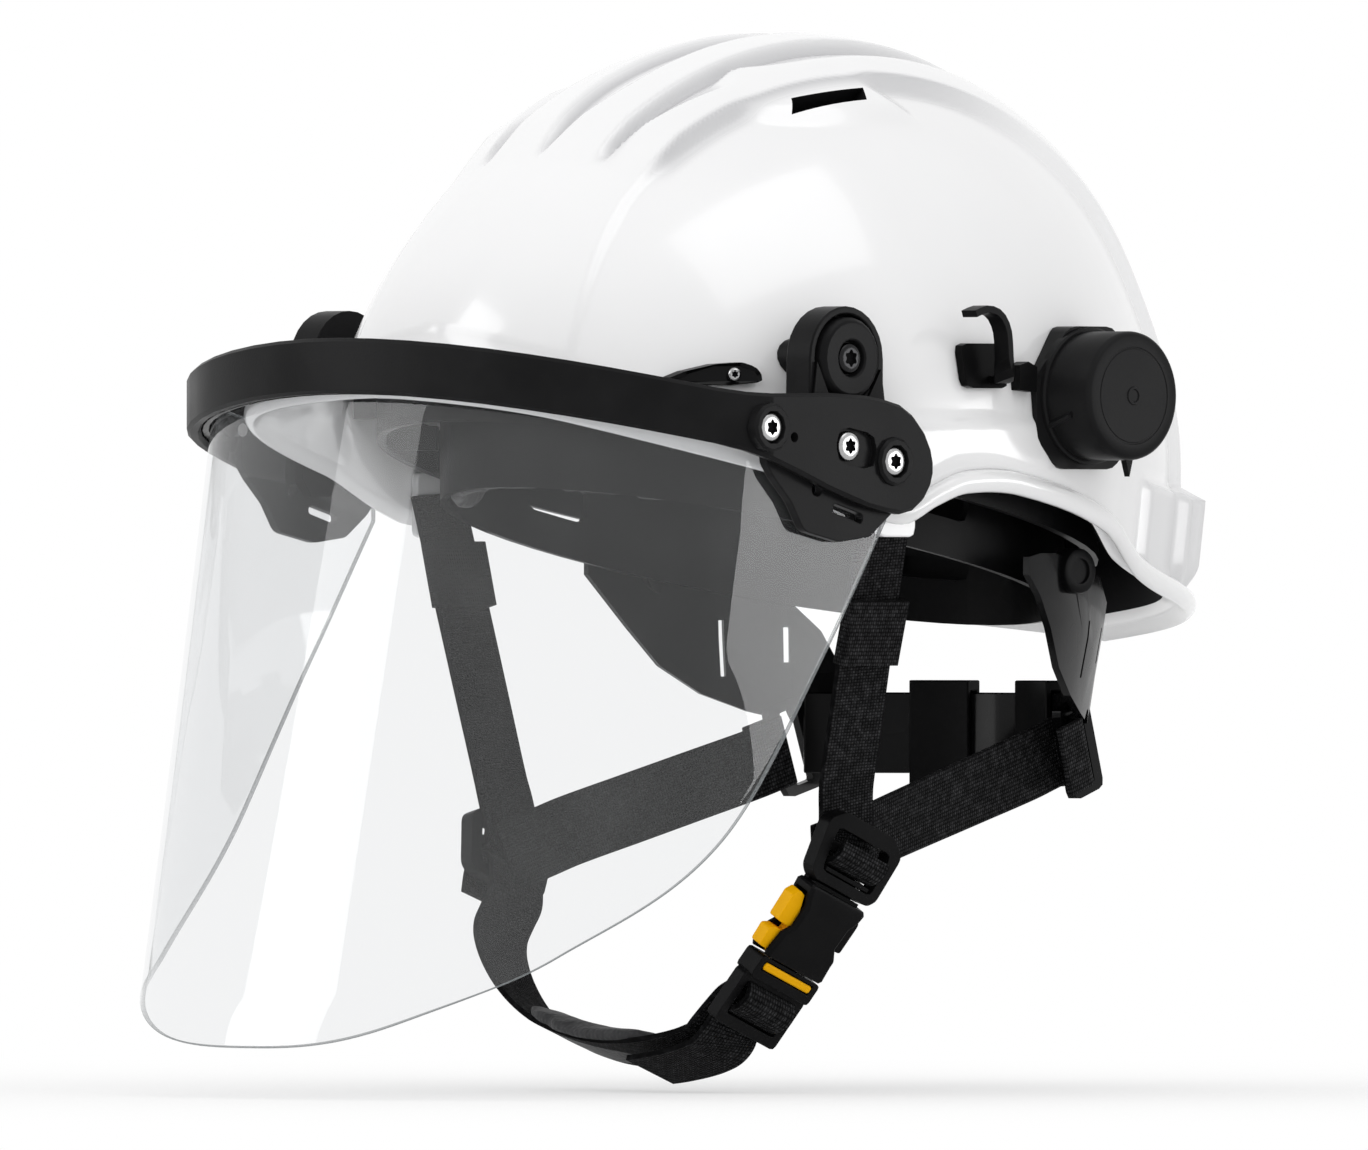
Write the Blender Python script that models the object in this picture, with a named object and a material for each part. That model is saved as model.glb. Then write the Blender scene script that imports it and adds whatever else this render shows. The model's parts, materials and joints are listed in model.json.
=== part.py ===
"""Hard hat with a flip-up face shield, a head cradle and a Y-type chin harness.

Named lengths are millimetres and become metres when a mesh is finished. +Z is up as worn,
-Y is the front and +X is the wearer's left. The origin is on the mid-plane, level with the ear arches.
"""

from math import cos, pi, radians, sin, sqrt

import bmesh
import bpy
from mathutils import Matrix, Vector

MM = 0.001
LEFT = 1
RIGHT = -1
SIDES = {"left": LEFT, "right": RIGHT}
SEAT_GAP = 0.35

# Shell
DOME_HALF_WIDTH = 100.5
DOME_HALF_LENGTH = 127.5
DOME_EQUATOR = 14.0
CROWN_HEIGHT = 128.5
DOME_RISE = CROWN_HEIGHT - DOME_EQUATOR
DOME_LEAN = 0.15
DOME_CENTRE = -9.0
REAR_SWELL = 16.0
REAR_SWELL_TOP = 68.0
REAR_SWELL_DROP = 72.0
SHELL_WALL = 3.0
RIM_HALF_WIDTH = 102.0
PEAK_REACH = 151.0
BRIM_REACH = 144.0
PEAK_SQUARENESS = 1.25
RIM_BEAD = 6.5
SHELL_COLUMNS = 64
RIM_CONTOUR = (
    (0, 28), (30, 21), (60, 7), (71, -4), (76, -7), (80, -2), (84, 1.5),
    (92, 1), (108, -9), (116, -22), (130, -29), (150, -34), (180, -40),
)
CROWN_BAND_RISE = 3.0
REAR_BLOCK_RISE = 7.5
VENT_CENTRE = (48.5, -21.0, 110.0)
VENT_SIZE = (6.0, 25.0)

# Face shield
PIVOT_Y = -67.0
PIVOT_Z = 39.0
PIVOT_DISC_RADIUS = 11.5
CARRIER_HALF_WIDTH = 108.0
CARRIER_DEPTH = 65.0
CARRIER_CORNER_Y = -98.0
CARRIER_SQUARENESS = 1.9
CARRIER_THICKNESS = 4.0
BAND_HEIGHT = 15.5
ARM_END_RADIUS = 15.5
ARM_END_Y = -55.0
ARM_END_Z = 11.5
LENS_OFFSET = -6.5
LENS_THICKNESS = 1.5
LENS_FRONT_REACH = 149.0
LENS_LOW_HALF_WIDTH = 92.0
LENS_REAR_Y = -50.0
LENS_EDGE = ((-199, -152), (-184, -142), (-155, -127), (-111, -96), (-75, -45), (-50, -6))
ARM_SCREWS = {"front": (-104.0, 19.7), "middle": (-72.0, 14.6), "rear": (-55.4, 10.4)}

# Head cradle
CRADLE_HALF_WIDTH = 90.0
CRADLE_HALF_LENGTH = 110.0
CRADLE_CENTRE = -6.0
HEADBAND_HALF_WIDTH = 76.0
HEADBAND_HALF_LENGTH = 97.0
HEADBAND_HEIGHT = 24.0
CRADLE_WALL = 2.6
CRADLE_HEIGHT = 13.0
CLIP_GAP = 2.0
WORN_SLOPE = -0.2
NAPE_TOP = (88.0, 107.0, -30.0)
NAPE_BOTTOM = (82.0, 102.0, -60.0)
NAPE_PIN = (44.0, -20.0)
NAPE_ARM_WALL = 2.2
NAPE_BAND_MIDDLE = -66.0
LOCK_SEAT = (56.8, 71.0, -70.5)
LOCK_AIM = (70.0, -28.5, -102.0)

# Chin harness
WEBBING_WIDTH = 20.0
WEBBING = 1.5
STRAP_TOP = (89.4, -35.5, 2.0)
KEEPER_HEIGHT = {"left": -37.0, "right": -21.0}
DIVIDER_CENTRE = (68.5, -30.3, -100.8)
DIVIDER_ACROSS = (-0.065, 0.934, -0.35)
DIVIDER_UP = (0.233, 0.355, 0.905)
DIVIDER_WALL = 4.4
DIVIDER_BAR = 1.2
BUCKLE_HEAD = (70.1, -30.5, -101.4)
BUCKLE_UP = (0.451, 0.34, 0.824)
PLUG_BAR = 47.7
CHIN_TILT = 0.375
CHIN_ROUTE = (
    (33, -151.5), (20, -155), (4, -156.5), (-13, -155), (-33, -149.5), (-52, -138), (-63.5, -124),
)
CHIN_PAD_REACH = (-42.0, 24.0)
CHIN_PAD_HALF_WIDTH = 12.5
CHIN_PAD_HALF_DEPTH = 2.6

# Finishes as colour, roughness and metallic value
FINISHES = {
    "shell_white": ((0.86, 0.86, 0.87), 0.22, 0.0),
    "black_plastic": ((0.016, 0.016, 0.018), 0.42, 0.0),
    "gloss_black": ((0.014, 0.014, 0.016), 0.22, 0.0),
    "webbing": ((0.018, 0.018, 0.02), 0.85, 0.0),
    "pad_foam": ((0.02, 0.02, 0.022), 0.75, 0.0),
    "clear_lens": ((0.9, 0.93, 0.94), 0.03, 0.0),
    "bright_steel": ((0.72, 0.72, 0.72), 0.25, 1.0),
    "release_yellow": ((0.85, 0.47, 0.02), 0.4, 0.0),
}


def clear_scene():
    for item in list(bpy.data.objects):
        bpy.data.objects.remove(item, do_unlink=True)


def make_materials():
    made = {}
    for name, (colour, roughness, metallic) in FINISHES.items():
        finish = bpy.data.materials.new(name)
        finish.use_nodes = True
        shader = finish.node_tree.nodes["Principled BSDF"]
        shader.inputs["Base Color"].default_value = (*colour, 1)
        shader.inputs["Roughness"].default_value = roughness
        shader.inputs["Metallic"].default_value = metallic
        made[name] = finish
    return made


def eased(x):
    x = min(max(x, 0.0), 1.0)
    return x * x * (3 - 2 * x)


def mixed(a, b, share):
    return a + (b - a) * share


def follow(stations, x):
    """Smooth value at x through hand-picked (x, value) stations in rising order of x."""
    last = len(stations) - 1
    k = max(i for i in range(last) if i == 0 or stations[i][0] <= x)

    def slope(i):
        before, after = stations[max(i - 1, 0)], stations[min(i + 1, last)]
        return (after[1] - before[1]) / (after[0] - before[0])

    (x0, y0), (x1, y1) = stations[k], stations[k + 1]
    span = x1 - x0
    t = min(max((x - x0) / span, 0.0), 1.0)
    bend = (t**3 - 2 * t**2 + t) * slope(k) + (t**3 - t**2) * slope(k + 1)
    return (2 * t**3 - 3 * t**2 + 1) * y0 + (3 * t**2 - 2 * t**3) * y1 + bend * span


def smooth_path(points, count):
    """Evenly counted points on a smooth curve through the given ones."""
    points = [Vector(p) for p in points]
    runs = [0.0]
    for a, b in zip(points, points[1:]):
        runs.append(runs[-1] + (b - a).length)
    axes = [[(run, p[axis]) for run, p in zip(runs, points)] for axis in range(3)]
    return [
        Vector([follow(axis, runs[-1] * i / (count - 1)) for axis in axes]) for i in range(count)
    ]


def power(value, exponent):
    return abs(value) ** exponent if value >= 0 else -(abs(value) ** exponent)


def finish(name, bm, material, parent=None, sharp=35, hidden=False):
    """Turn a bmesh in millimetres into a named object in metres."""
    bmesh.ops.recalc_face_normals(bm, faces=bm.faces[:])
    bmesh.ops.scale(bm, vec=(MM, MM, MM), verts=bm.verts[:])
    mesh = bpy.data.meshes.new(name)
    bm.to_mesh(mesh)
    bm.free()
    mesh.shade_smooth()
    mesh.set_sharp_from_angle(angle=radians(sharp))
    item = bpy.data.objects.new(name, mesh)
    bpy.context.scene.collection.objects.link(item)
    if hidden:
        item.hide_render = True
        item.display_type = "WIRE"
    else:
        mesh.materials.append(MATERIALS[material])
    if parent:
        item.parent = parent
        item.matrix_parent_inverse = parent.matrix_world.inverted()
    return item


def cutter(name, bm):
    return finish(name, bm, None, hidden=True)


def boolean(item, other, operation):
    step = item.modifiers.new(f"{operation.lower()} {other.name}", "BOOLEAN")
    step.operation = operation
    step.object = other
    step.solver = "EXACT"


def loft(rings, bm=None, closed=False):
    """Skin closed rings of equal count one after another and cap the ends."""
    bm = bm or bmesh.new()
    loops = [[bm.verts.new(p) for p in ring] for ring in rings]
    pairs = list(zip(loops, loops[1:]))
    if closed:
        pairs.append((loops[-1], loops[0]))
    for low, high in pairs:
        for i in range(len(low)):
            j = (i + 1) % len(low)
            bm.faces.new((low[i], low[j], high[j], high[i]))
    if not closed:
        bm.faces.new(loops[0][::-1])
        bm.faces.new(loops[-1])
    return bm


def rounded(corners, radius, steps=4):
    """Outline through the corners, each rounded by an arc."""
    outline = []
    for i, corner in enumerate(corners):
        here = Vector(corner)
        back = Vector(corners[i - 1]) - here
        ahead = Vector(corners[(i + 1) % len(corners)]) - here
        half = back.angle(ahead) / 2
        reach = min(radius / max(sin(half) / cos(half), 0.01), 0.48 * min(back.length, ahead.length))
        start = here + back.normalized() * reach
        end = here + ahead.normalized() * reach
        for k in range(steps + 1):
            t = k / steps
            outline.append(start * (1 - t) ** 2 + here * 2 * t * (1 - t) + end * t**2)
    return outline


def place(outline, frame, depth):
    """Lift a flat outline to a depth along the third axis of a frame."""
    return [frame @ Vector((p[0], p[1], depth)) for p in outline]


def plate(outline, frame, low, high, bm=None):
    return loft([place(outline, frame, low), place(outline, frame, high)], bm)


def frame_of(origin, across, up):
    """Frame with its first axis across, its second up and its third out of their plane."""
    across = Vector(across).normalized()
    out = across.cross(Vector(up)).normalized()
    up = out.cross(across)
    turn = Matrix((across, up, out)).transposed().to_4x4()
    return Matrix.Translation(Vector(origin)) @ turn


def side_frame(side):
    """Frame whose flat outlines are (y, z) and whose depth is x on one side of the hat."""
    return Matrix(((0, 0, side, 0), (1, 0, 0, 0), (0, 1, 0, 0), (0, 0, 0, 1)))


def circle(centre, radius, count=24):
    steps = [2 * pi * i / count for i in range(count)]
    return [Vector((centre[0] + radius * cos(a), centre[1] + radius * sin(a))) for a in steps]


def turned(profile, centre, frame, count=24, bm=None):
    """Revolve (depth, radius) stations about a frame's third axis through a centre."""
    rings = [place(circle(centre, radius, count), frame, depth) for depth, radius in profile]
    return loft(rings, bm)


def ribbon(path, across, width, thickness, bm=None, closed=False):
    """Flat strap along a path. across gives the width direction at each point."""
    rings = []
    for i, point in enumerate(path):
        before = path[i - 1] if i or closed else path[0]
        after = path[(i + 1) % len(path)] if i + 1 < len(path) or closed else path[-1]
        along = (after - before).normalized()
        wide = across[i] - along * across[i].dot(along)
        wide = wide.normalized() * width / 2
        thick = along.cross(wide).normalized() * thickness / 2
        rings.append([point - wide - thick, point + wide - thick, point + wide + thick, point - wide + thick])
    return loft(rings, bm, closed)


def dome_lean(z):
    return DOME_CENTRE + DOME_LEAN * z


def dome_share(z, rise=0.0):
    """How much of its full plan the dome keeps at a height."""
    return sqrt(max(0.0, 1 - (max(0.0, z - DOME_EQUATOR) / (DOME_RISE + rise)) ** 2))


def dome_length(z, rear):
    """Half length of the dome at a height. The rear wall swells towards the brim."""
    return DOME_HALF_LENGTH + (REAR_SWELL * eased((REAR_SWELL_TOP - z) / REAR_SWELL_DROP) if rear else 0)


def dome_side(y, z):
    """Distance of the dome's outer face from the mid-plane."""
    along = (y - dome_lean(z)) / dome_length(z, y > dome_lean(z))
    return DOME_HALF_WIDTH * sqrt(max(0.0, dome_share(z) ** 2 - along**2))


def dome_over(x, turn, rise):
    """Point on the dome at x, raised by rise. turn goes from the back over the top to the front."""
    reach = sqrt(1 - (x / (DOME_HALF_WIDTH + rise)) ** 2)
    if turn < 0:
        z = DOME_EQUATOR + DOME_RISE * turn
        return Vector((x, dome_lean(z) + (dome_length(z, True) + rise) * reach, z))
    z = DOME_EQUATOR + (DOME_RISE + rise) * reach * sin(turn)
    length = dome_length(z, cos(turn) > 0) + rise
    return Vector((x, dome_lean(z) + length * reach * cos(turn), z))


def rim_height(angle):
    return follow(RIM_CONTOUR, abs(angle))


def rim_plan(angle, inset=0.0):
    """Outer outline of peak, sides and brim. angle is 0 at the front and 180 at the back."""
    c, s = cos(radians(angle)), sin(radians(angle))
    squareness = 2 + (PEAK_SQUARENESS * c * c if c > 0 else 0)
    reach = (PEAK_REACH if c > 0 else BRIM_REACH) - inset
    return Vector(((RIM_HALF_WIDTH - inset) * power(s, 2 / squareness), -reach * power(c, 2 / squareness)))


def wall_plan(angle, z, inset=0.0):
    share = dome_share(z, -inset)
    c, s = cos(radians(angle)), sin(radians(angle))
    length = dome_length(z, c < 0) - inset
    return Vector(((DOME_HALF_WIDTH - inset) * share * s, dome_lean(z) - length * share * c))


def shell_profile(angle):
    """Section of the shell at one plan angle: outside from crown to rim, then back up inside."""
    rim = rim_height(angle)
    base = rim + RIM_BEAD + 5 + 9 * cos(radians(angle)) ** 4
    climb = [radians(a) for a in (7, 16, 26, 36, 46, 56, 66, 75, 83, 90)]
    flare = [radians(a) for a in (30, 60, 90)]
    points = []
    for a in climb:
        z = mixed(base, CROWN_HEIGHT, cos(a))
        points.append((*wall_plan(angle, z), z))
    outer_wall = wall_plan(angle, base)
    for a in flare:
        plan = outer_wall.lerp(rim_plan(angle), 1 - cos(a))
        points.append((*plan, mixed(base, rim + RIM_BEAD, sin(a))))
    points.append((*rim_plan(angle, -0.8), rim + RIM_BEAD / 2))
    points.append((*rim_plan(angle, 0.6), rim))
    points.append((*rim_plan(angle, 3.4), rim + 0.4))
    inner_wall = wall_plan(angle, base, SHELL_WALL)
    under = rim + RIM_BEAD - SHELL_WALL
    for a in reversed(flare[:2] + [radians(90)]):
        plan = inner_wall.lerp(rim_plan(angle, 4.2), 1 - cos(a))
        points.append((*plan, mixed(base, under, sin(a))))
    for a in (radians(b) for b in (90, 82, 73, 60, 45, 30, 15, 7)):
        z = mixed(base, CROWN_HEIGHT - SHELL_WALL, cos(a))
        points.append((*wall_plan(angle, z, SHELL_WALL), z))
    return points


def crown_strip(half_width, turns, low, high, chamfer):
    """Raised strip that follows the dome from the back over the top to the front."""
    rings = []
    for turn in turns:
        w = half_width(turn)
        lift = high(turn)
        inner = [w - chamfer, w * 0.55, 0.0, -w * 0.55, chamfer - w]
        ring = [dome_over(-w, turn, low), dome_over(0, turn, low), dome_over(w, turn, low)]
        ring.append(dome_over(w, turn, mixed(low, lift, 0.6)))
        ring += [dome_over(x, turn, lift) for x in inner]
        ring.append(dome_over(-w, turn, mixed(low, lift, 0.6)))
        rings.append(ring)
    return loft(rings)


def crown_groove(x, turns, widest, depth):
    """Crescent cutter that opens from a point, follows the dome and closes again."""
    rings = []
    for i, turn in enumerate(turns):
        half = 0.4 + widest * sin(pi * i / (len(turns) - 1)) ** 0.8
        floor = CROWN_BAND_RISE - 0.1 - depth * sin(pi * i / (len(turns) - 1)) ** 0.6
        over = CROWN_BAND_RISE + 4
        rings.append(
            [dome_over(x - half, turn, over), dome_over(x + half, turn, over), dome_over(x, turn, floor)]
        )
    return loft(rings)


def add_shell():
    angles = [360 * i / SHELL_COLUMNS for i in range(SHELL_COLUMNS)]
    profiles = [shell_profile(a if a <= 180 else a - 360) for a in angles]
    bm = loft([list(ring) for ring in zip(*profiles)])
    shell = finish("shell", bm, "shell_white", sharp=45)

    band_turns = [radians(a) for a in (-10, 0, 14, 28, 42, 56, 70, 84, 98, 112, 126, 140, 152, 163)]

    def band_half_width(turn):
        return mixed(58, 36, eased((turn - 0.5) / 2.1))

    def band_lift(turn):
        return CROWN_BAND_RISE * (1 - 0.6 * eased((turn - 2.3) / 0.5))

    band = crown_strip(band_half_width, band_turns, -1.2, band_lift, 3.0)
    boolean(shell, cutter("crown_band", band), "UNION")

    block_turns = [radians(a) for a in (-18.5, -14, -8, -3)]
    block = crown_strip(lambda turn: 57.0, block_turns, -1.2, lambda turn: REAR_BLOCK_RISE, 4.0)
    boolean(shell, cutter("rear_block", block), "UNION")

    groove_turns = [radians(mixed(131, 62, i / 7)) for i in range(8)]
    for number, x in enumerate((-23.5, 0.0, 23.5)):
        groove = crown_groove(x, groove_turns, 3.4, 2.6)
        boolean(shell, cutter(f"crown_groove_{number}", groove), "DIFFERENCE")

    for side_name, side in SIDES.items():
        out = Vector((0.74 * side, 0, 0.67))
        centre = Vector((VENT_CENTRE[0] * side, VENT_CENTRE[1], VENT_CENTRE[2]))
        seat = frame_of(centre, (0, side, 0), out.cross(Vector((0, side, 0))))
        pad = plate(rounded([(-21, -6), (21, -6), (17.5, 6), (-17.5, 6)], 3), seat, -4, 2.2)
        boolean(shell, cutter(f"vent_pad_{side_name}", pad), "UNION")
        half_wide, half_long = VENT_SIZE[0] / 2, VENT_SIZE[1] / 2
        slot = [(-half_long, -half_wide), (half_long - 3, -half_wide), (half_long, half_wide)]
        slot.append((3 - half_long, half_wide))
        boolean(shell, cutter(f"vent_slot_{side_name}", plate(rounded(slot, 1), seat, -16, 9)), "DIFFERENCE")


def seated(outline, side, outer, steps=3, gap=SEAT_GAP):
    """Solid between the dome's side and a flat outer face, with its inner face laid on the dome."""
    centre = sum((Vector(p) for p in outline), Vector((0, 0))) / len(outline)
    rings = []
    for k in range(1, steps + 1):
        shrunk = [centre.lerp(Vector(p), k / steps) for p in outline]
        rings.append([(side * (dome_side(p[0], p[1]) + gap), p[0], p[1]) for p in shrunk])
    if callable(outer):
        rings.append([(side * (dome_side(p[0], p[1]) + outer(p)), p[0], p[1]) for p in outline])
    else:
        rings.append([(side * outer, p[0], p[1]) for p in outline])
    return rings


def add_slot_cover(name, side):
    """Leaf-shaped cover of the accessory slot, laid on the shell beside the pivot."""
    leaf = [(-103, 32.5), (-97, 35.5), (-90, 37.5), (-84, 38)]
    leaf += [(-80.5, 36.5), (-79.5, 32.5), (-88, 31.5), (-97, 31.5)]
    rings = seated(rounded(leaf, 3, 2), side, lambda p: 4.4, gap=0.9)
    return finish(f"slot_cover_{name}", loft(rings), "gloss_black")


def add_pivot(name, side):
    """Post on the shell, and the disc and screw that hold the shield's bracket on it."""
    axis = side_frame(side)
    centre = (PIVOT_Y, PIVOT_Z)
    rings = seated(circle(centre, 5.8, 18), side, 93.6, 2)
    rings += [place(circle(centre, 4.4, 18), axis, depth) for depth in (93.6, 98.6)]
    finish(f"pivot_post_{name}", loft(rings), "black_plastic")
    rim = PIVOT_DISC_RADIUS
    disc = [(98.95, rim), (104.3, rim), (105.5, rim - 1.2), (105.5, 5.2), (103.2, 5.0)]
    finish(f"pivot_disc_{name}", turned(disc, centre, axis, 22), "black_plastic")
    screw = [(103.5, 4.4), (104.7, 4.4), (105.2, 3.9), (105.2, 2.2), (104.0, 2.0)]
    finish(f"pivot_screw_{name}", turned(screw, centre, axis, 12), "bright_steel")


def add_lamp_hook(name, side):
    """Pad on the shell with a strip that stands off and curls forward over the lamp strap."""
    pad = rounded([(-18, 31), (-2, 31), (-2, 43.5), (-18, 43.5)], 2.5, 2)
    bm = loft(seated(pad, side, lambda p: 3.2))
    hook = finish(f"lamp_hook_{name}", bm, "black_plastic")
    route = [(101.5, -6, 33.5), (106.0, -7.5, 33.5), (107.8, -9, 36), (107.8, -9.2, 42), (107.8, -10, 47.5)]
    route += [(107.8, -13, 51.6), (107.8, -18, 53), (107.8, -23, 51.6)]
    path = [Vector((side * p.x, p.y, p.z)) for p in smooth_path(route, 16)]
    across = [Vector((0, 1, 0)).lerp(Vector((side, 0, 0)), eased((i - 1) / 4)) for i in range(len(path))]
    strip = ribbon(path, across, 5.6, 2.0)
    boolean(hook, cutter(f"hook_strip_{name}", strip), "UNION")
    return hook


def add_housing(name, side):
    """Round accessory housing: a base laid on the shell, a drum with a flat face, ribs and a tab."""
    axis = side_frame(side)
    centre = (31.0, 29.0)
    base = [(10.5, 17), (19, 8.5), (41, 8.5), (51, 18), (51, 38), (41, 48.5), (24, 48.5), (10.5, 35)]
    bm = loft(seated(rounded(base, 6, 2), side, 101.4))
    housing = finish(f"accessory_housing_{name}", bm, "black_plastic")
    drum = turned([(99.8, 18), (117.8, 18), (119.0, 16.8)], centre, axis, 26)
    boolean(housing, cutter(f"housing_drum_{name}", drum), "UNION")
    ends = (((15.0, 20.2), 100.6), ((13.9, 23.8), 112.0))
    rib = loft([place(circle(end, 1.1, 6), axis, depth) for end, depth in ends])
    boolean(housing, cutter(f"housing_rib_{name}", rib), "UNION")
    tab = plate([(34, 12), (37.4, 12), (35.8, 6.4)], axis, 111, 113)
    boolean(housing, cutter(f"housing_tab_{name}", tab), "UNION")
    return housing


def carrier_station(turn):
    """Plan point and outward direction of the carrier's middle line. turn is 0 in front, 90 at the arms."""
    c, s = cos(radians(turn)), sin(radians(turn))
    p = 2 / CARRIER_SQUARENESS
    point = Vector((CARRIER_HALF_WIDTH * power(s, p), CARRIER_CORNER_Y - CARRIER_DEPTH * power(c, p)))
    lean = CARRIER_SQUARENESS - 1
    out_x = power(point.x / CARRIER_HALF_WIDTH, lean) / CARRIER_HALF_WIDTH
    out_y = power((point.y - CARRIER_CORNER_Y) / CARRIER_DEPTH, lean) / CARRIER_DEPTH
    return point, Vector((out_x, out_y)).normalized()


def carrier_line(arm_ys, turns):
    """Stations from the left arm's end round the front to the right arm's end."""
    left = [(Vector((CARRIER_HALF_WIDTH, y)), Vector((1, 0))) for y in arm_ys]
    right = [(Vector((-CARRIER_HALF_WIDTH, y)), Vector((-1, 0))) for y in reversed(arm_ys)]
    return left + [carrier_station(t) for t in turns] + right


def band_middle(y):
    return ARM_END_Z - 0.18 * (y - ARM_END_Y) + 0.0018 * max(0.0, -105 - y) ** 2


def band_half_height(y):
    if y > ARM_END_Y:
        return sqrt(max(0.3, ARM_END_RADIUS**2 - (y - ARM_END_Y) ** 2))
    return mixed(BAND_HEIGHT / 2, ARM_END_RADIUS, eased((y + 118) / 58))


def band_section(station, offset, thickness, middle, half, edge):
    point, out = station
    t = thickness / 2
    corners = [(-t, edge - half), (edge - t, -half), (t - edge, -half), (t, edge - half)]
    corners += [(t, half - edge), (t - edge, half), (edge - t, half), (-t, half - edge)]
    return [(*(point + out * (offset + a)), middle + b) for a, b in corners]


def front_turns(reach, count):
    return [mixed(reach, -reach, i / (count - 1)) for i in range(count)]


def add_carrier(shield):
    """U-shaped band round the front whose arms widen to round ends, with screw collars."""
    arm_ys = [-39.7, -40.6, -43, -47, -52, -58, -65]
    stations = carrier_line(arm_ys + [-80, -92], front_turns(86, 25))
    rings = []
    for station in stations:
        y = station[0].y
        half = band_half_height(y)
        rings.append(band_section(station, 0, CARRIER_THICKNESS, band_middle(y), half, 1.0))
    carrier = finish("visor_carrier", loft(rings), "black_plastic", shield)
    for name, side in SIDES.items():
        axis = side_frame(side)
        for spot in ("front", "rear"):
            collar = turned([(108.0, 6.8), (110.9, 6.8), (111.6, 6.1)], ARM_SCREWS[spot], axis, 12)
            boolean(carrier, cutter(f"collar_{spot}_{name}", collar), "UNION")
        y, z = ARM_SCREWS["middle"]
        slot = rounded([(y - 5.6, z - 4.6), (y + 10, z - 6.8), (y + 10, z + 3.2), (y - 5.6, z + 6)], 4.4, 2)
        boolean(carrier, cutter(f"arm_slot_{name}", plate(slot, axis, 108.2, 112)), "DIFFERENCE")
        for spot in ("front", "rear"):
            sink = turned([(109.4, 4.7), (113, 4.7)], ARM_SCREWS[spot], axis, 10)
            boolean(carrier, cutter(f"screw_sink_{spot}_{name}", sink), "DIFFERENCE")
    return carrier


def add_screw_holes():
    """One cutter for the screw holes of each side."""
    holes = {}
    for name, side in SIDES.items():
        bm = bmesh.new()
        for centre in ARM_SCREWS.values():
            turned([(98, 2.5), (114, 2.5)], centre, side_frame(side), 8, bm)
        holes[name] = cutter(f"screw_holes_{name}", bm)
    return holes


def lens_station(share):
    """Plan direction, top and bottom points of the lens from the left rear corner (0) to the front (1)."""
    straight = 0.24
    if share > straight:
        point, out = carrier_station(90 * (1 - share) / (1 - straight))
    else:
        arm_y = mixed(LENS_REAR_Y, CARRIER_CORNER_Y, share / straight)
        point, out = Vector((CARRIER_HALF_WIDTH, arm_y)), Vector((1, 0))
    top = point + out * LENS_OFFSET
    turn = radians(90 * (1 - share))
    width = mixed(CARRIER_HALF_WIDTH + LENS_OFFSET, LENS_LOW_HALF_WIDTH, eased((share - 0.1) / 0.35))
    low_y = LENS_REAR_Y - LENS_FRONT_REACH * power(cos(turn), 2 / 2.8)
    low = Vector((width * power(sin(turn), 2 / 2.8), low_y, follow(LENS_EDGE, low_y)))
    return out, Vector((top.x, top.y, band_middle(top.y) + 3.5)), low


def lens_stations():
    """Stations of the whole lens from the left rear corner round to the right one."""
    count = 20
    left = [lens_station(i / count) for i in range(count + 1)]
    flip = Vector((-1, 1, 1))
    right = [(Vector((-out.x, out.y)), top * flip, low * flip) for out, top, low in reversed(left[:-1])]
    return left + right


def add_lens(shield):
    """Clear sheet bent round the front: straight lines from the band down to a curved lower edge."""
    rows = 2
    bm = bmesh.new()
    grid = []
    for _, top, low in lens_stations():
        grid.append([bm.verts.new(top.lerp(low, r / rows)) for r in range(rows + 1)])
    for a, b in zip(grid, grid[1:]):
        for r in range(rows):
            bm.faces.new((a[r], b[r], b[r + 1], a[r + 1]))
    lens = finish("visor_lens", bm, "clear_lens", shield)
    wall = lens.modifiers.new("sheet", "SOLIDIFY")
    wall.thickness = LENS_THICKNESS * MM
    wall.offset = 0
    wall.use_even_offset = True
    return lens


def add_gasket(shield):
    """Strip that fills the space between the band and the lens round the front."""
    rings = []
    for out, top, low in lens_stations()[8:-8]:
        face = top.to_2d() - out * LENS_OFFSET - out * (CARRIER_THICKNESS / 2 + SEAT_GAP)
        ring = []
        for drop in (1.0, 9.0):
            on_lens = top.lerp(low, drop / (top.z - low.z)).to_2d()
            ring.append((*(on_lens + out * (LENS_THICKNESS / 2 + 0.5)), top.z - drop))
        ring.append((face.x, face.y, top.z - 9.0))
        ring.append((face.x, face.y, top.z - 1.0))
        rings.append(ring)
    return finish("lens_gasket", loft(rings), "gloss_black", shield)


def add_clamp(name, side, shield):
    """Plate under the arm that presses the lens, with a hole and a slot."""
    outline = [(-101, 24), (-101, 10), (-98, 6), (-91, -1), (-86, -9)]
    outline += [(-72, -12), (-60, -10.5), (-50, -3), (-50, 18)]
    axis = side_frame(side)
    bm = plate(rounded(outline, 4, 2), axis, 102.7, 105.65)
    clamp = finish(f"lens_clamp_{name}", bm, "black_plastic", shield)
    cut = turned([(102, 2.0), (107, 2.0)], (-81, 2.8), axis, 12)
    slot = rounded([(-75, -3.6), (-63.5, -7), (-62.8, -4.4), (-74.3, -1.2)], 1.2, 2)
    plate(slot, axis, 102, 107, cut)
    boolean(clamp, cutter(f"clamp_cuts_{name}", cut), "DIFFERENCE")
    return clamp


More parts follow.
